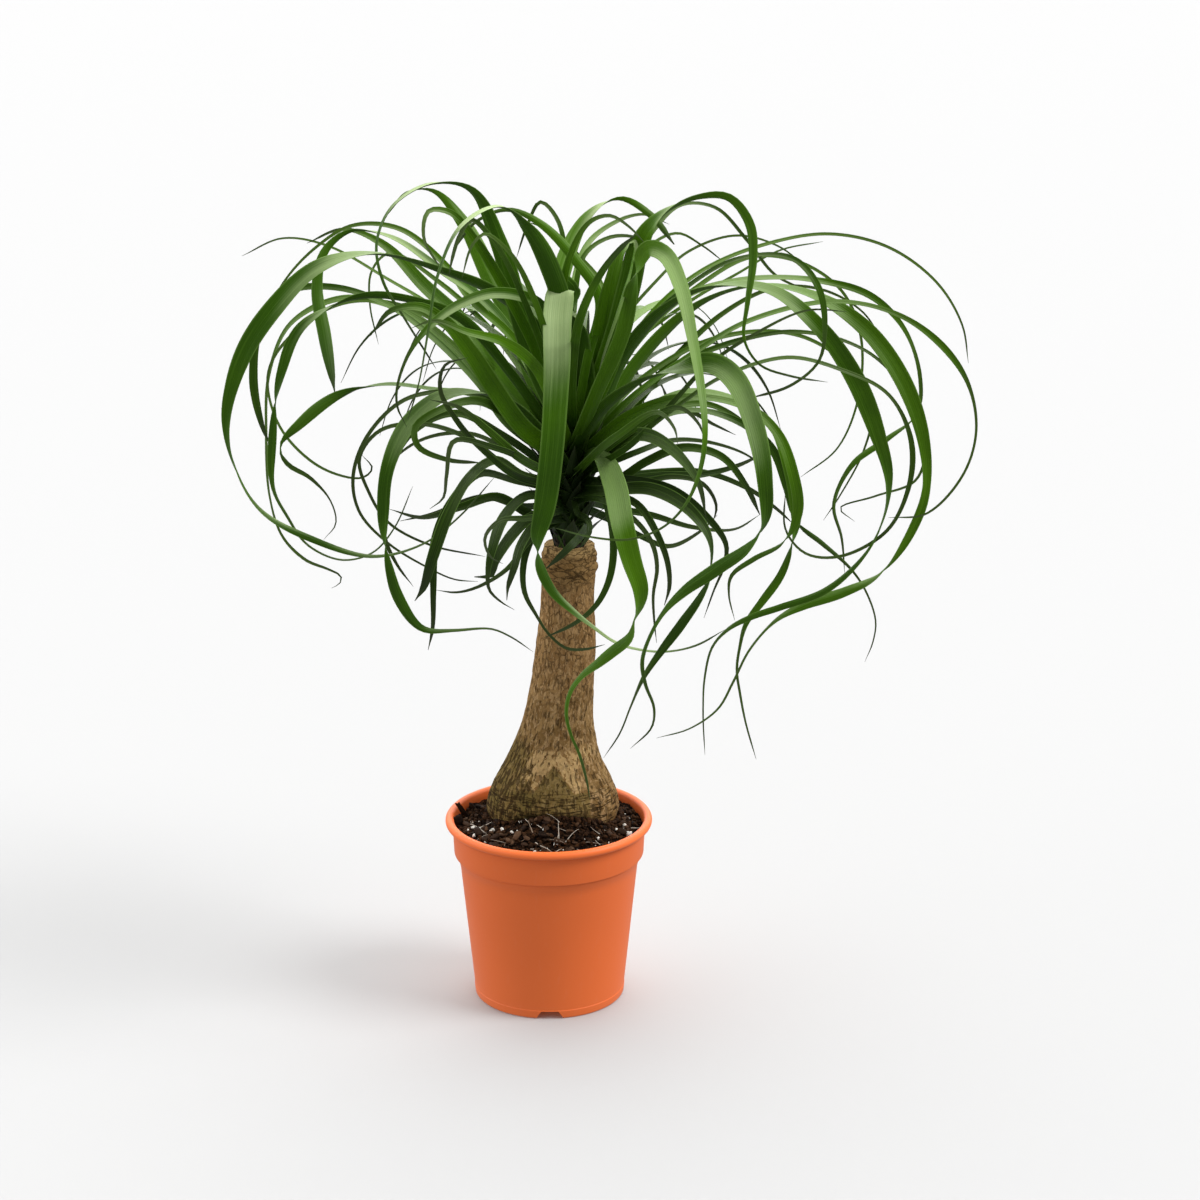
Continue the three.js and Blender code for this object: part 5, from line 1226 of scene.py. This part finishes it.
class PALM_OT_trunk(bpy.types.Operator):
    """Add the trunk with its swollen foot and cracked bark"""

    bl_idname = "palm.trunk"
    bl_label = "Trunk"

    def execute(self, context):
        settings = context.scene.palm_trunk
        sides = 300
        buried = [110, 114, 122, 130, 137]
        heights = np.concatenate([buried, np.linspace(142, 388, 296)])
        z = np.repeat(heights, sides)
        angle = np.tile(spaced_angles(sides), len(heights))
        points, outward = trunk_points(z, angle)
        spot = bark_place(z, angle)
        rise = bark_rise(spot, z) * settings.bark_depth / MM * smoothstep(z, *BARK["buried"])
        # The cave: a recess at the front of the bulb's foot, pushed in, with shade painted in it
        cave = smoothstep(-np.sin(angle), *BARK["cave"]) * (1 - smoothstep(z, *BARK["cave_top"]))
        golden, olive, mossy = bark_masks(points, angle, z)
        points += outward * (rise + BARK["proud"] - BARK["cave_depth"] * cave)[:, None]
        values = {
            "round_x": spot[:, 0], "round_y": spot[:, 1], "climb": spot[:, 2], "golden": golden,
            "olive": olive, "mossy": mossy, "cave": 0.8 * cave, "neck": smoothstep(z, *BARK["neck"]),
            "top": smoothstep(z, *BARK["top"]), "cap": smoothstep(z, *BARK["cap"]),
            "bottom": 1 - smoothstep(z, *BARK["cracked"]),
        }
        faces = closed_faces(len(heights), sides)
        add_piece(mesh_object("trunk_bark", points, faces, bark_material(settings), values), "trunk")
        return {"FINISHED"}


def even_rows(route, spacing):
    """Points at even steps along a route, their tangents and the route's length."""
    steps = np.linalg.norm(np.diff(route, axis=0), axis=1)
    along = np.concatenate([[0], np.cumsum(steps)])
    rows = max(16, int(along[-1] / spacing))
    wanted = np.linspace(0, along[-1], rows)
    centres = np.stack([np.interp(wanted, along, route[:, axis]) for axis in range(3)], axis=1)
    return centres, unit(np.gradient(centres, axis=0)), along[-1]


def evened(values, reach):
    """A running mean along the rows."""
    padded = np.concatenate([np.full(reach, values[0]), values, np.full(reach, values[-1])])
    return np.convolve(padded, np.ones(2 * reach + 1) / (2 * reach + 1), mode="valid")


def traced_leaf(row):
    """The route in space of a leaf whose route on the upright plane is known."""
    name, foot, nears, widths, route = row
    board = np.array(route, float)
    along = np.concatenate([[0], np.cumsum(np.linalg.norm(np.diff(board, axis=0), axis=1))])
    aside = np.max(np.abs(board[:, 0] - CROWN["x"])) / CROWN["reach"]
    stretch = CROWN["least"] + CROWN["more"] * math.sqrt(max(0, 1 - aside**2))
    toward = stretch * spread(nears, along / along[-1]) / -VIEWER[1]
    flat = np.stack([board[:, 0], np.zeros(len(board)), board[:, 1]], axis=1)
    points = flat + (VIEWER - flat) * toward[:, None]
    route = np.vstack([trunk_axis(np.array([float(foot)])), points])
    return {"name": name, "points": route, "widths": widths, "foot": foot}


def arched_leaf(draw, index):
    """A leaf that arches over by a rule."""
    rule = ARCHED
    toward = math.pi * (0.5 + rule["fan"] * math.sin(index * rule["golden"]))
    stride = (rule["length"] + rule["more_length"] * next(draw)) / rule["steps"]
    rise = rule["rise"] - rule["less_rise"] * next(draw)
    droop = rise + rule["droop"] + rule["more_droop"] * next(draw)
    sway = rule["sway"] * (next(draw) - 0.5)
    foot = rule["foot"] + rule["more_foot"] * next(draw)
    points = [trunk_axis(np.array([foot]))[0]]
    for step in range(1, rule["steps"] + 1):
        share = (step - 0.5) / rule["steps"]
        slope = rise - droop * share ** rule["power"]
        turn = toward + sway * share
        flat = stride * math.cos(slope)
        stretch = [flat * math.cos(turn), flat * math.sin(turn), stride * math.sin(slope)]
        points.append(points[-1] + np.array(stretch))
    broad = rule["broad"] + rule["more_broad"] * next(draw)
    tilt = rule["tilt"] * broad * (next(draw) - 0.5)
    return {"points": np.array(points), "widths": [tilt, tilt, tilt / 2, 0], "foot": foot,
            "broad": broad, "aside": sideways(toward)}


def leaf_rows(leaf, spacing):
    """Centre, tangent, face direction, half width and length along the leaf of each row."""
    centres, tangents, length = even_rows(smooth_route(leaf["points"]), spacing)
    share = np.linspace(0, 1, len(centres))
    hidden = np.linalg.norm(leaf["points"][1] - leaf["points"][0]) / length
    seen = spread(leaf["widths"], np.clip((share - hidden) / (1 - hidden), 0, 1))
    broad = leaf.get("broad", BLADE["swell"] * max(map(abs, leaf["widths"])))
    own = np.maximum(np.maximum(np.abs(seen), broad * (1 - share) ** BLADE["taper"]), BLADE["least"])
    front = VIEWER - centres if "aside" not in leaf else np.tile(leaf["aside"], (len(centres), 1))
    front = unit(front - np.sum(front * tangents, axis=1)[:, None] * tangents)
    across = np.cross(tangents, front)
    turn = evened(np.arccos(np.clip(seen / own, -1, 1)), 3)
    upper = -1 if across[np.argmax(centres[:, 2]), 2] < 0 else 1
    normals = np.cos(turn)[:, None] * front + upper * np.sin(turn)[:, None] * across
    sides = np.cross(tangents, normals)
    bend = np.abs(np.sum(np.gradient(tangents, axis=0) * sides, axis=1)) / (length / (len(centres) - 1))
    half = np.minimum(evened(own, 3) / 2, BLADE["tightest"] / np.maximum(bend, 1e-6))
    return centres, tangents, normals, sides, evened(half, 2), share * length


def blade_body(leaf, settings, number, columns=9):
    """The points, faces and numbers of one channelled blade."""
    centres, _, normals, sides, half, along = leaf_rows(leaf, settings.row_spacing / MM)
    length = along[-1]
    left = length - along
    pointed = np.clip(left / BLADE["tip"], 0.1, 1) ** 0.7
    half = half * pointed * (1 + BLADE["flare"] * np.exp(-along / BLADE["flare_end"]))
    u = np.sin(np.linspace(-math.pi / 2, math.pi / 2, columns))
    wave = np.sin(along / BLADE["wave"] + number * 1.7)[:, None] * np.sign(u) * u**2
    rim = settings.channel * half[:, None] * np.abs(u) ** BLADE["fold"]
    lift = rim + np.clip(half, 0, 5)[:, None] * BLADE["wave_rise"] * wave
    middle = settings.thickness / MM * np.clip(0.45 + half / 11, 0.3, 1)
    thick = middle[:, None] * (1 - BLADE["thin_rim"] * u**2) / 2
    base = centres[:, None] + sides[:, None] * (half[:, None] * u)[..., None]
    upper = base + normals[:, None] * (lift + thick)[..., None]
    under = base + normals[:, None] * (lift - thick)[..., None]
    rings = np.concatenate([upper, under[:, ::-1]], axis=1)
    rows, ring = rings.shape[:2]
    slope = settings.channel * BLADE["fold"] * np.sign(u) * np.abs(u) ** (BLADE["fold"] - 1)
    faced = unit(normals[:, None] - sides[:, None] * slope[:, None])
    across = np.concatenate([u, u[::-1]])
    # How squarely each face turns to the sky, which sets the painted sheen
    up = faced @ unit(np.array(SKY))
    sky = np.concatenate([up, -up[:, ::-1]], axis=1)
    # Painted shade, darkest deep in the crown's heart
    deep = np.linalg.norm((rings - HEART_SHADE["centre"]) / HEART_SHADE["size"], axis=-1)
    # Nearness to the top of the blade's arch, where more painted sheen is laid
    from_top = (along - along[np.argmax(centres[:, 2])]) / (BLADE["painted_sheen"] * length)
    youth = min(max((leaf["foot"] - CROWN["oldest"]) / CROWN["span"], 0), 1)
    values = {
        "shade": 1 - smoothstep(deep, HEART_SHADE["dark"], HEART_SHADE["light"]).ravel(),
        "arch": np.repeat(np.exp(-from_top**2), ring),
        "sky": np.clip(sky, 0, 1).ravel(),
        "across": np.abs(np.tile(across, rows)),
        "strip": (half[:, None] * across).ravel() + number * 0.37,
        "foot": np.repeat(along, ring),
        "tip": np.repeat(left, ring),
        "under": np.tile(np.repeat([0.0, 1.0], columns), rows),
        "youth": LEAF_YOUTH.get(leaf.get("name"), youth),
        "thin": np.repeat(1 - smoothstep(half, 0.9, 2.8), ring),
        "tone": number * 0.618 % 1,
    }
    return rings.reshape(-1, 3), closed_faces(rows, ring), values


def leaf_material(settings):
    shader = Shader("palm leaf")
    place = shader.place()
    across, strip, foot, tip = shader.vertex_values("across strip foot tip")
    under, youth, tone, thin = shader.vertex_values("under youth tone thin")
    sky, arch, shade = shader.vertex_values("sky arch shade")
    cloud = shader.noise(place, 22.0, 2.0)
    blotch = shader.noise(place, 120.0, 3.0)
    along = shader.node("ShaderNodeCombineXYZ", {0: strip, 1: foot * 0.014, 2: tone * 40.0})
    streak = shader.noise(along, 0.55, 4.0, 0.6)
    vein = shader.math("SINE", strip * 4.2) * 0.5 + 0.5
    lively = shader.ramp(cloud * 0.7 + 0.7 * tone, 0.3, 1.0)
    # Painted sheen: a pale colour laid where a blade faces the sky and near the top of its arch, in place of
    # the softbox's reflection
    painted_sheen = sky + arch * (1.0 - under) * 0.34 + 0.3 * (streak - 0.5) + 0.2 * (tone - 0.5)
    painted_sheen_share = shader.ramp(painted_sheen, 0.25, 1.0) * (0.05 + youth * youth * youth) * (1.0 - 0.8 * thin)
    base = shader.coated(
        opaque(settings.deep),
        (lively, settings.fresh),
        ((1.0 - shader.ramp(youth, 0.3, 0.8)) * 0.9, settings.skirt),
        (under * 0.35, settings.under),
        (shader.ramp(streak, 0.5, 0.75) * 0.3, settings.pale),
        ((1.0 - shader.ramp(streak, 0.3, 0.48)) * 0.35, settings.deep),
        (vein * 0.06, settings.pale),
        (painted_sheen_share, settings.painted_sheen_colour),
        (shader.ramp(across, 0.8, 0.97) * 0.42, settings.rim),
        ((1.0 - shader.ramp(foot, 12.0, 90.0)) * 0.35 * youth, settings.foot),
        # Painted shade on the leaves deep in the crown's heart
        (shade * 0.78, settings.heart),
        (thin * 0.5, settings.strand),
        ((1.0 - shader.ramp(tip, 2.0, 60.0)) * 0.6, settings.tip),
    )
    return shader.finish(
        Base_Color=base,
        Roughness=0.36 + 0.12 * blotch + 0.1 * under,
        Specular_IOR_Level=0.1,
        Normal=shader.bump(streak + vein * 0.4 + 0.2 * blotch, 0.00025),
    )


def leaf_group(name, leaves, context, columns=9):
    """Adds a group of blades as one piece. The finish is made once for all the groups."""
    settings = context.scene.palm_leaves
    heap = Heap()
    for number, leaf in leaves:
        points, faces, values = blade_body(leaf, settings, number, columns)
        heap.add(points, faces, **values)
    material = bpy.data.materials.get("palm leaf") or leaf_material(settings)
    add_piece(heap.build(name, material), "leaf_crown")


class PALM_OT_leaves(bpy.types.Operator):
    """Add the broad leaves of the crown: the tall ones, those of the sides and the hanging skirt"""

    bl_idname = "palm.leaves"
    bl_label = "Broad Leaves"

    def execute(self, context):
        leaves = [(number, traced_leaf(row)) for number, row in enumerate(LEAVES)]
        for name, low, high in LEAF_GROUPS:
            chosen = [(number, leaf) for number, leaf in leaves if low <= leaf["foot"] < high]
            leaf_group(name, chosen, context)
        return {"FINISHED"}


class PALM_OT_fine_leaves(bpy.types.Operator):
    """Add the thread-like leaves of the crown"""

    bl_idname = "palm.fine_leaves"
    bl_label = "Fine Leaves"

    def execute(self, context):
        leaves = [(number + 200, traced_leaf(row)) for number, row in enumerate(FINE_LEAVES)]
        leaf_group("crown_fine_leaves", leaves, context, columns=5)
        return {"FINISHED"}


class PALM_OT_back_leaves(bpy.types.Operator):
    """Add the leaves of the back and the inside of the crown"""

    bl_idname = "palm.back_leaves"
    bl_label = "Back Leaves"

    def execute(self, context):
        draw = seeded_draw(ARCHED["seed"])
        leaves = [(index + 300, arched_leaf(draw, index)) for index in range(ARCHED["count"])]
        leaf_group("crown_back_leaves", leaves, context)
        return {"FINISHED"}


class PALM_OT_leaf_sheaths(bpy.types.Operator):
    """Add the short, clasping bases that wrap the stem tip between the leaves"""

    bl_idname = "palm.leaf_sheaths"
    bl_label = "Leaf Sheaths"

    def execute(self, context):
        draw = seeded_draw(SHEATHS["seed"])
        sheaths = []
        for index in range(SHEATHS["count"]):
            share = index / (SHEATHS["count"] - 1)
            turn = index * ARCHED["golden"] + 0.5 * next(draw)
            outward = facing(turn)
            foot = SHEATHS["low"] + (SHEATHS["high"] - SHEATHS["low"]) * share
            length = SHEATHS["length"] + SHEATHS["more_length"] * share * (0.6 + 0.4 * next(draw))
            lean = SHEATHS["lean"] * (1 - 0.72 * share) * (0.8 + 0.4 * next(draw))
            points = [trunk_axis(np.array([foot]))[0] + outward * 9]
            for step in range(4):
                slope = 0.2 + lean * (step + 0.5) / 4
                points.append(points[-1] + climbing(outward, slope) * length / 4)
            sheath = {
                "points": np.array(points), "widths": EDGE_ON, "foot": foot + 14,
                "broad": SHEATHS["broad"] + 5 * next(draw), "aside": sideways(turn),
            }
            sheaths.append((index + 400, sheath))
        leaf_group("leaf_sheaths", sheaths, context)
        return {"FINISHED"}


def stub_material():
    shader = Shader("old leaf bases")
    tone = shader.vertex_value("tone")
    grain = shader.noise(shader.stretched(shader.place(), (1.0, 1.0, 0.2)), 500.0, 4.0)
    dark, brown, straw = STUBS["colours"]
    base = shader.coated(opaque(dark), (tone, brown), (shader.ramp(grain, 0.5, 0.8) * 0.5, straw))
    return shader.finish(Base_Color=base, Roughness=0.8, Normal=shader.bump(grain, 0.0006))


class PALM_OT_stem_tip(bpy.types.Operator):
    """Add the stem tip in the crown and the dark stubs of old leaves round it"""

    bl_idname = "palm.stem_tip"
    bl_label = "Stem Tip and Old Leaf Bases"

    def execute(self, context):
        generator = np.random.default_rng(STUBS["seed"])
        known = np.array(STEM_TIP, float)
        heights = np.linspace(known[0, 0], known[-1, 0], 30)
        points, faces = tube(trunk_axis(heights), np.interp(heights, known[:, 0], known[:, 1]), 28)
        material = stub_material()
        stem = mesh_object("stem_tip", points, faces, material, {"tone": np.full(len(points), 0.2)})
        add_piece(stem, "leaf_crown")
        stubs = Heap()
        for index in range(STUBS["count"]):
            height = STUBS["low"] + STUBS["spread"] * generator.random()
            turn = index * ARCHED["golden"] + 0.3 * generator.random()
            outward = facing(turn)
            lean = 0.35 + 0.6 * generator.random()
            size = STUBS["length"] + STUBS["more_length"] * generator.random()
            foot = trunk_axis(np.array([height]))[0] + outward * 10
            middle = foot + climbing(outward, lean) * size * 0.55
            end = middle + climbing(outward, lean * 0.4) * size * 0.45
            leaf = {
                "points": np.array([foot, middle, end]), "widths": EDGE_ON, "foot": CROWN["oldest"],
                "broad": STUBS["broad"] + 5 * generator.random(), "aside": sideways(turn),
            }
            points, faces, _ = blade_body(leaf, context.scene.palm_leaves, index, 7)
            stubs.add(points, faces, tone=generator.random() ** 2)
        add_piece(stubs.build("old_leaf_bases", material), "leaf_crown")
        return {"FINISHED"}


class Surround(NodeMaker):
    """The white studio around the plant, brighter overhead and behind, like a big softbox"""

    def __init__(self, settings):
        world = bpy.data.worlds.new("studio surround")
        world.use_nodes = True
        bpy.context.scene.world = world
        self.tree = world.node_tree
        direction = self.node("ShaderNodeTexCoord", {}, output="Generated")
        height = self.node("ShaderNodeSeparateXYZ", {0: direction}, output="Z")
        toward = self.pointing(direction, Vector(SOFTBOX["toward"]).normalized())
        aside = self.pointing(direction, (1.0, 0.0, 0.0))
        above = settings.horizon + self.ramp(height, 0.0, 0.9) * (settings.zenith - settings.horizon)
        above = above + self.ramp(toward, SOFTBOX["edge"], SOFTBOX["full"]) * settings.softbox
        above = above + self.ramp(aside, 0.5, 0.95) * settings.right
        above = above + self.ramp(aside * -1.0, 0.5, 0.95) * settings.left
        strength = settings.bounce + self.ramp(height, -0.02, 0.02) * (above - settings.bounce)
        seen = self.node("ShaderNodeLightPath", {}, output="Is Camera Ray")
        strength = strength + seen * (settings.backdrop - strength)
        self.feed(self.tree.nodes["Background"], {"Color": (1.0, 1.0, 1.0, 1.0), "Strength": strength})

    def pointing(self, direction, goal):
        """1 where a direction points to the goal, and 0 where it is at right angles to it."""
        inputs = {0: direction, 1: goal}
        return self.node("ShaderNodeVectorMath", inputs, output="Value", operation="DOT_PRODUCT")


def aimed(name, data, direction):
    """A camera or a light that looks along a direction."""
    made = bpy.data.objects.new(name, data)
    made.rotation_mode = "QUATERNION"
    made.rotation_quaternion = direction.to_track_quat("-Z", "Y")
    bpy.context.scene.collection.objects.link(made)
    return made


class PALM_OT_studio(bpy.types.Operator):
    """Add the camera, the pale floor and the soft studio light"""

    bl_idname = "palm.studio"
    bl_label = "Studio"

    def execute(self, context):
        settings = context.scene.palm_studio
        context.scene.view_settings.view_transform = "Standard"
        camera_data = bpy.data.cameras.new("camera")
        camera_data.lens = settings.lens
        camera_data.sensor_width = 36
        camera = aimed("camera", camera_data, Vector(CAMERA_TARGET) * MM - Vector(VIEWER) * MM)
        camera.location = VIEWER * MM
        context.scene.camera = camera

        material = Shader("pale floor").finish(Base_Color=opaque(settings.floor), Roughness=0.9)
        reach = 30000
        corners = [(-reach, -reach, 0), (reach, -reach, 0), (reach, reach, 0), (-reach, reach, 0)]
        floor = mesh_object("studio_floor", corners, [[0, 1, 2, 3]], material, smooth=False)
        floor.visible_diffuse = False
        floor.visible_glossy = False
        Surround(settings)

        key_data = bpy.data.lights.new("key", "SUN")
        key_data.energy = settings.key
        key_data.angle = settings.key_width
        aimed("key", key_data, -Vector(KEY_FROM))
        return {"FINISHED"}


def colour_property(name, description, default):
    return FloatVectorProperty(
        name=name, description=description, default=default, subtype="COLOR", size=3, min=0, max=1)


def light_property(name, description, default):
    return FloatProperty(name=name, description=description, default=default, min=0)


def length_property(name, description, default):
    return FloatProperty(name=name, description=description, default=default, unit="LENGTH", min=0)


class PalmPotSettings(bpy.types.PropertyGroup):
    """The pot's sizes and colour"""

    width: length_property("Rim width", "Width across the rolled rim", POT_BOX[1].x - POT_BOX[0].x)
    height: length_property("Height", "Height from the foot to the top of the rim", POT_BOX[1].z)
    colour: colour_property("Plastic", "Colour of the plastic", (0.77, 0.148, 0.03))
    # Painted highlight: the colour laid on the lip, which faces up to the light
    rim: colour_property("Rim", "Colour of the lit plastic of the rim", (0.93, 0.18, 0.037))


class PalmMixSettings(bpy.types.PropertyGroup):
    """The potting mix's colours and its loose bits"""

    dark: colour_property("Dark mix", "Colour of the wet, dark part", (0.0045, 0.0014, 0.0006))
    brown: colour_property("Brown mix", "Colour of the drier part", (0.062, 0.027, 0.0105))
    bark: colour_property("Bark chips", "Colour of the paler bark chips", (0.095, 0.05, 0.026))
    crumbs: IntProperty(name="Crumbs", description="Number of small crumbs", default=1500, min=1)
    chips: IntProperty(name="Chips", description="Number of bark chips", default=190, min=1)
    grains: IntProperty(name="Grains", description="Number of white grains", default=46, min=1)
    fibres: IntProperty(name="Fibres", description="Number of thin fibres", default=26, min=1)


class PalmTrunkSettings(bpy.types.PropertyGroup):
    """The bark's relief and colours"""

    bark_depth: length_property("Bark depth", "How far the bark's plates stand out", 0.001)
    dark: colour_property("Dark bark", "Colour of the darker plates", (0.2, 0.112, 0.036))
    tan: colour_property("Tan bark", "Colour of the lighter plates", (0.36, 0.22, 0.085))
    pale: colour_property("Pale flecks", "Colour of the pale flecks", (0.56, 0.37, 0.18))
    neck: colour_property("Neck", "Colour of the upper trunk", (0.32, 0.175, 0.07))
    olive: colour_property("Olive patches", "Colour of the green-grey patches", (0.155, 0.115, 0.033))
    gold: colour_property("Golden flakes", "Colour of the fresh flakes on the bulb", (0.47, 0.315, 0.135))


class PalmLeafSettings(bpy.types.PropertyGroup):
    """The leaf blades' section and colours"""

    thickness: length_property("Thickness", "Thickness of a broad blade at its middle", 0.0009)
    row_spacing: length_property("Row spacing", "Step between the rows of points along a blade", 0.0045)
    channel: FloatProperty(
        name="Channel", description="Rise of the rims over the middle, as a share of the half width",
        default=0.26, min=0, subtype="FACTOR")
    fresh: colour_property("Fresh", "Colour of the liveliest leaves", (0.074, 0.19, 0.0008))
    deep: colour_property("Deep", "Colour of the deep green leaves", (0.025, 0.077, 0.0004))
    skirt: colour_property("Skirt", "Colour of the old, low leaves", (0.008, 0.018, 0.0015))
    under: colour_property("Underside", "Colour of the undersides", (0.03, 0.085, 0.003))
    pale: colour_property("Streaks", "Colour of the pale streaks along the blades", (0.11, 0.24, 0.02))
    rim: colour_property("Rims", "Colour of the thin pale rims", (0.17, 0.3, 0.06))
    # Painted sheen: the colour laid on parts that face the sky, in place of the softbox's reflection
    painted_sheen_colour: colour_property("Sage", "Colour of the bloom on parts that face the sky", (0.36, 0.47, 0.21))
    # Painted shade: the colour of the leaves deep in the crown's heart
    heart: colour_property("Heart", "Colour of the leaves in the crown's dark heart", (0.004, 0.013, 0.0012))
    foot: colour_property("Foot", "Colour of the leaves' feet", (0.1, 0.22, 0.01))
    strand: colour_property("Strands", "Colour of the thinnest parts", (0.07, 0.09, 0.035))
    tip: colour_property("Tip", "Colour of the tips", (0.03, 0.04, 0.02))


class PalmStudioSettings(bpy.types.PropertyGroup):
    """The camera's lens, the floor and the light"""

    lens: FloatProperty(name="Lens", description="Focal length", default=101.8, subtype="DISTANCE_CAMERA")
    floor: colour_property("Floor", "Colour of the floor", (0.45, 0.45, 0.45))
    horizon: light_property("Horizon", "Brightness of the surround at eye level", 0.44)
    zenith: light_property("Zenith", "Brightness of the surround overhead", 0.75)
    softbox: light_property("Softbox", "Brightness of the softbox above and behind", 2.1)
    left: light_property("Left panel", "Brightness of the white panel at the left", 2.0)
    right: light_property("Right panel", "Brightness of the white panel at the right", 0.4)
    bounce: light_property("Bounce", "Brightness of the light that comes back from below", 0.5)
    backdrop: light_property("Backdrop", "Brightness that the camera sees beyond the floor", 1.0)
    key: light_property("Key light", "Strength of the key light", 2.4)
    key_width: FloatProperty(
        name="Key width", description="Angle that the key light fills", default=0.5, subtype="ANGLE")


class PALM_PT_panel(bpy.types.Panel):
    """Lists the palm's pieces"""

    bl_idname = "PALM_PT_panel"
    bl_label = "Potted Ponytail Palm"
    bl_space_type = "VIEW_3D"
    bl_region_type = "UI"
    bl_category = "Palm"

    def draw(self, context):
        for operator in OPERATORS:
            self.layout.operator(operator.bl_idname, text=operator.bl_label)
        for settings in SETTINGS:
            box = self.layout.box()
            for key in SETTINGS[settings].__annotations__:
                box.prop(getattr(context.scene, settings), key)


OPERATORS = (
    PALM_OT_studio, PALM_OT_pot, PALM_OT_potting_mix, PALM_OT_soil_bits, PALM_OT_trunk,
    PALM_OT_stem_tip, PALM_OT_leaf_sheaths, PALM_OT_leaves, PALM_OT_fine_leaves, PALM_OT_back_leaves,
)
SETTINGS = {
    "palm_pot": PalmPotSettings,
    "palm_mix": PalmMixSettings,
    "palm_trunk": PalmTrunkSettings,
    "palm_leaves": PalmLeafSettings,
    "palm_studio": PalmStudioSettings,
}


def register():
    for name, group in SETTINGS.items():
        bpy.utils.register_class(group)
        setattr(bpy.types.Scene, name, PointerProperty(type=group))
    for operator in OPERATORS:
        bpy.utils.register_class(operator)
    bpy.utils.register_class(PALM_PT_panel)


def unregister():
    bpy.utils.unregister_class(PALM_PT_panel)
    for operator in reversed(OPERATORS):
        bpy.utils.unregister_class(operator)
    for name, group in reversed(SETTINGS.items()):
        delattr(bpy.types.Scene, name)
        bpy.utils.unregister_class(group)


def main():
    register()
    bpy.ops.palm.studio()
    bpy.ops.palm.pot()
    bpy.ops.palm.potting_mix()
    bpy.ops.palm.soil_bits()
    bpy.ops.palm.trunk()
    bpy.ops.palm.stem_tip()
    bpy.ops.palm.leaf_sheaths()
    bpy.ops.palm.leaves()
    bpy.ops.palm.fine_leaves()
    bpy.ops.palm.back_leaves()


if __name__ == "__main__":
    main()
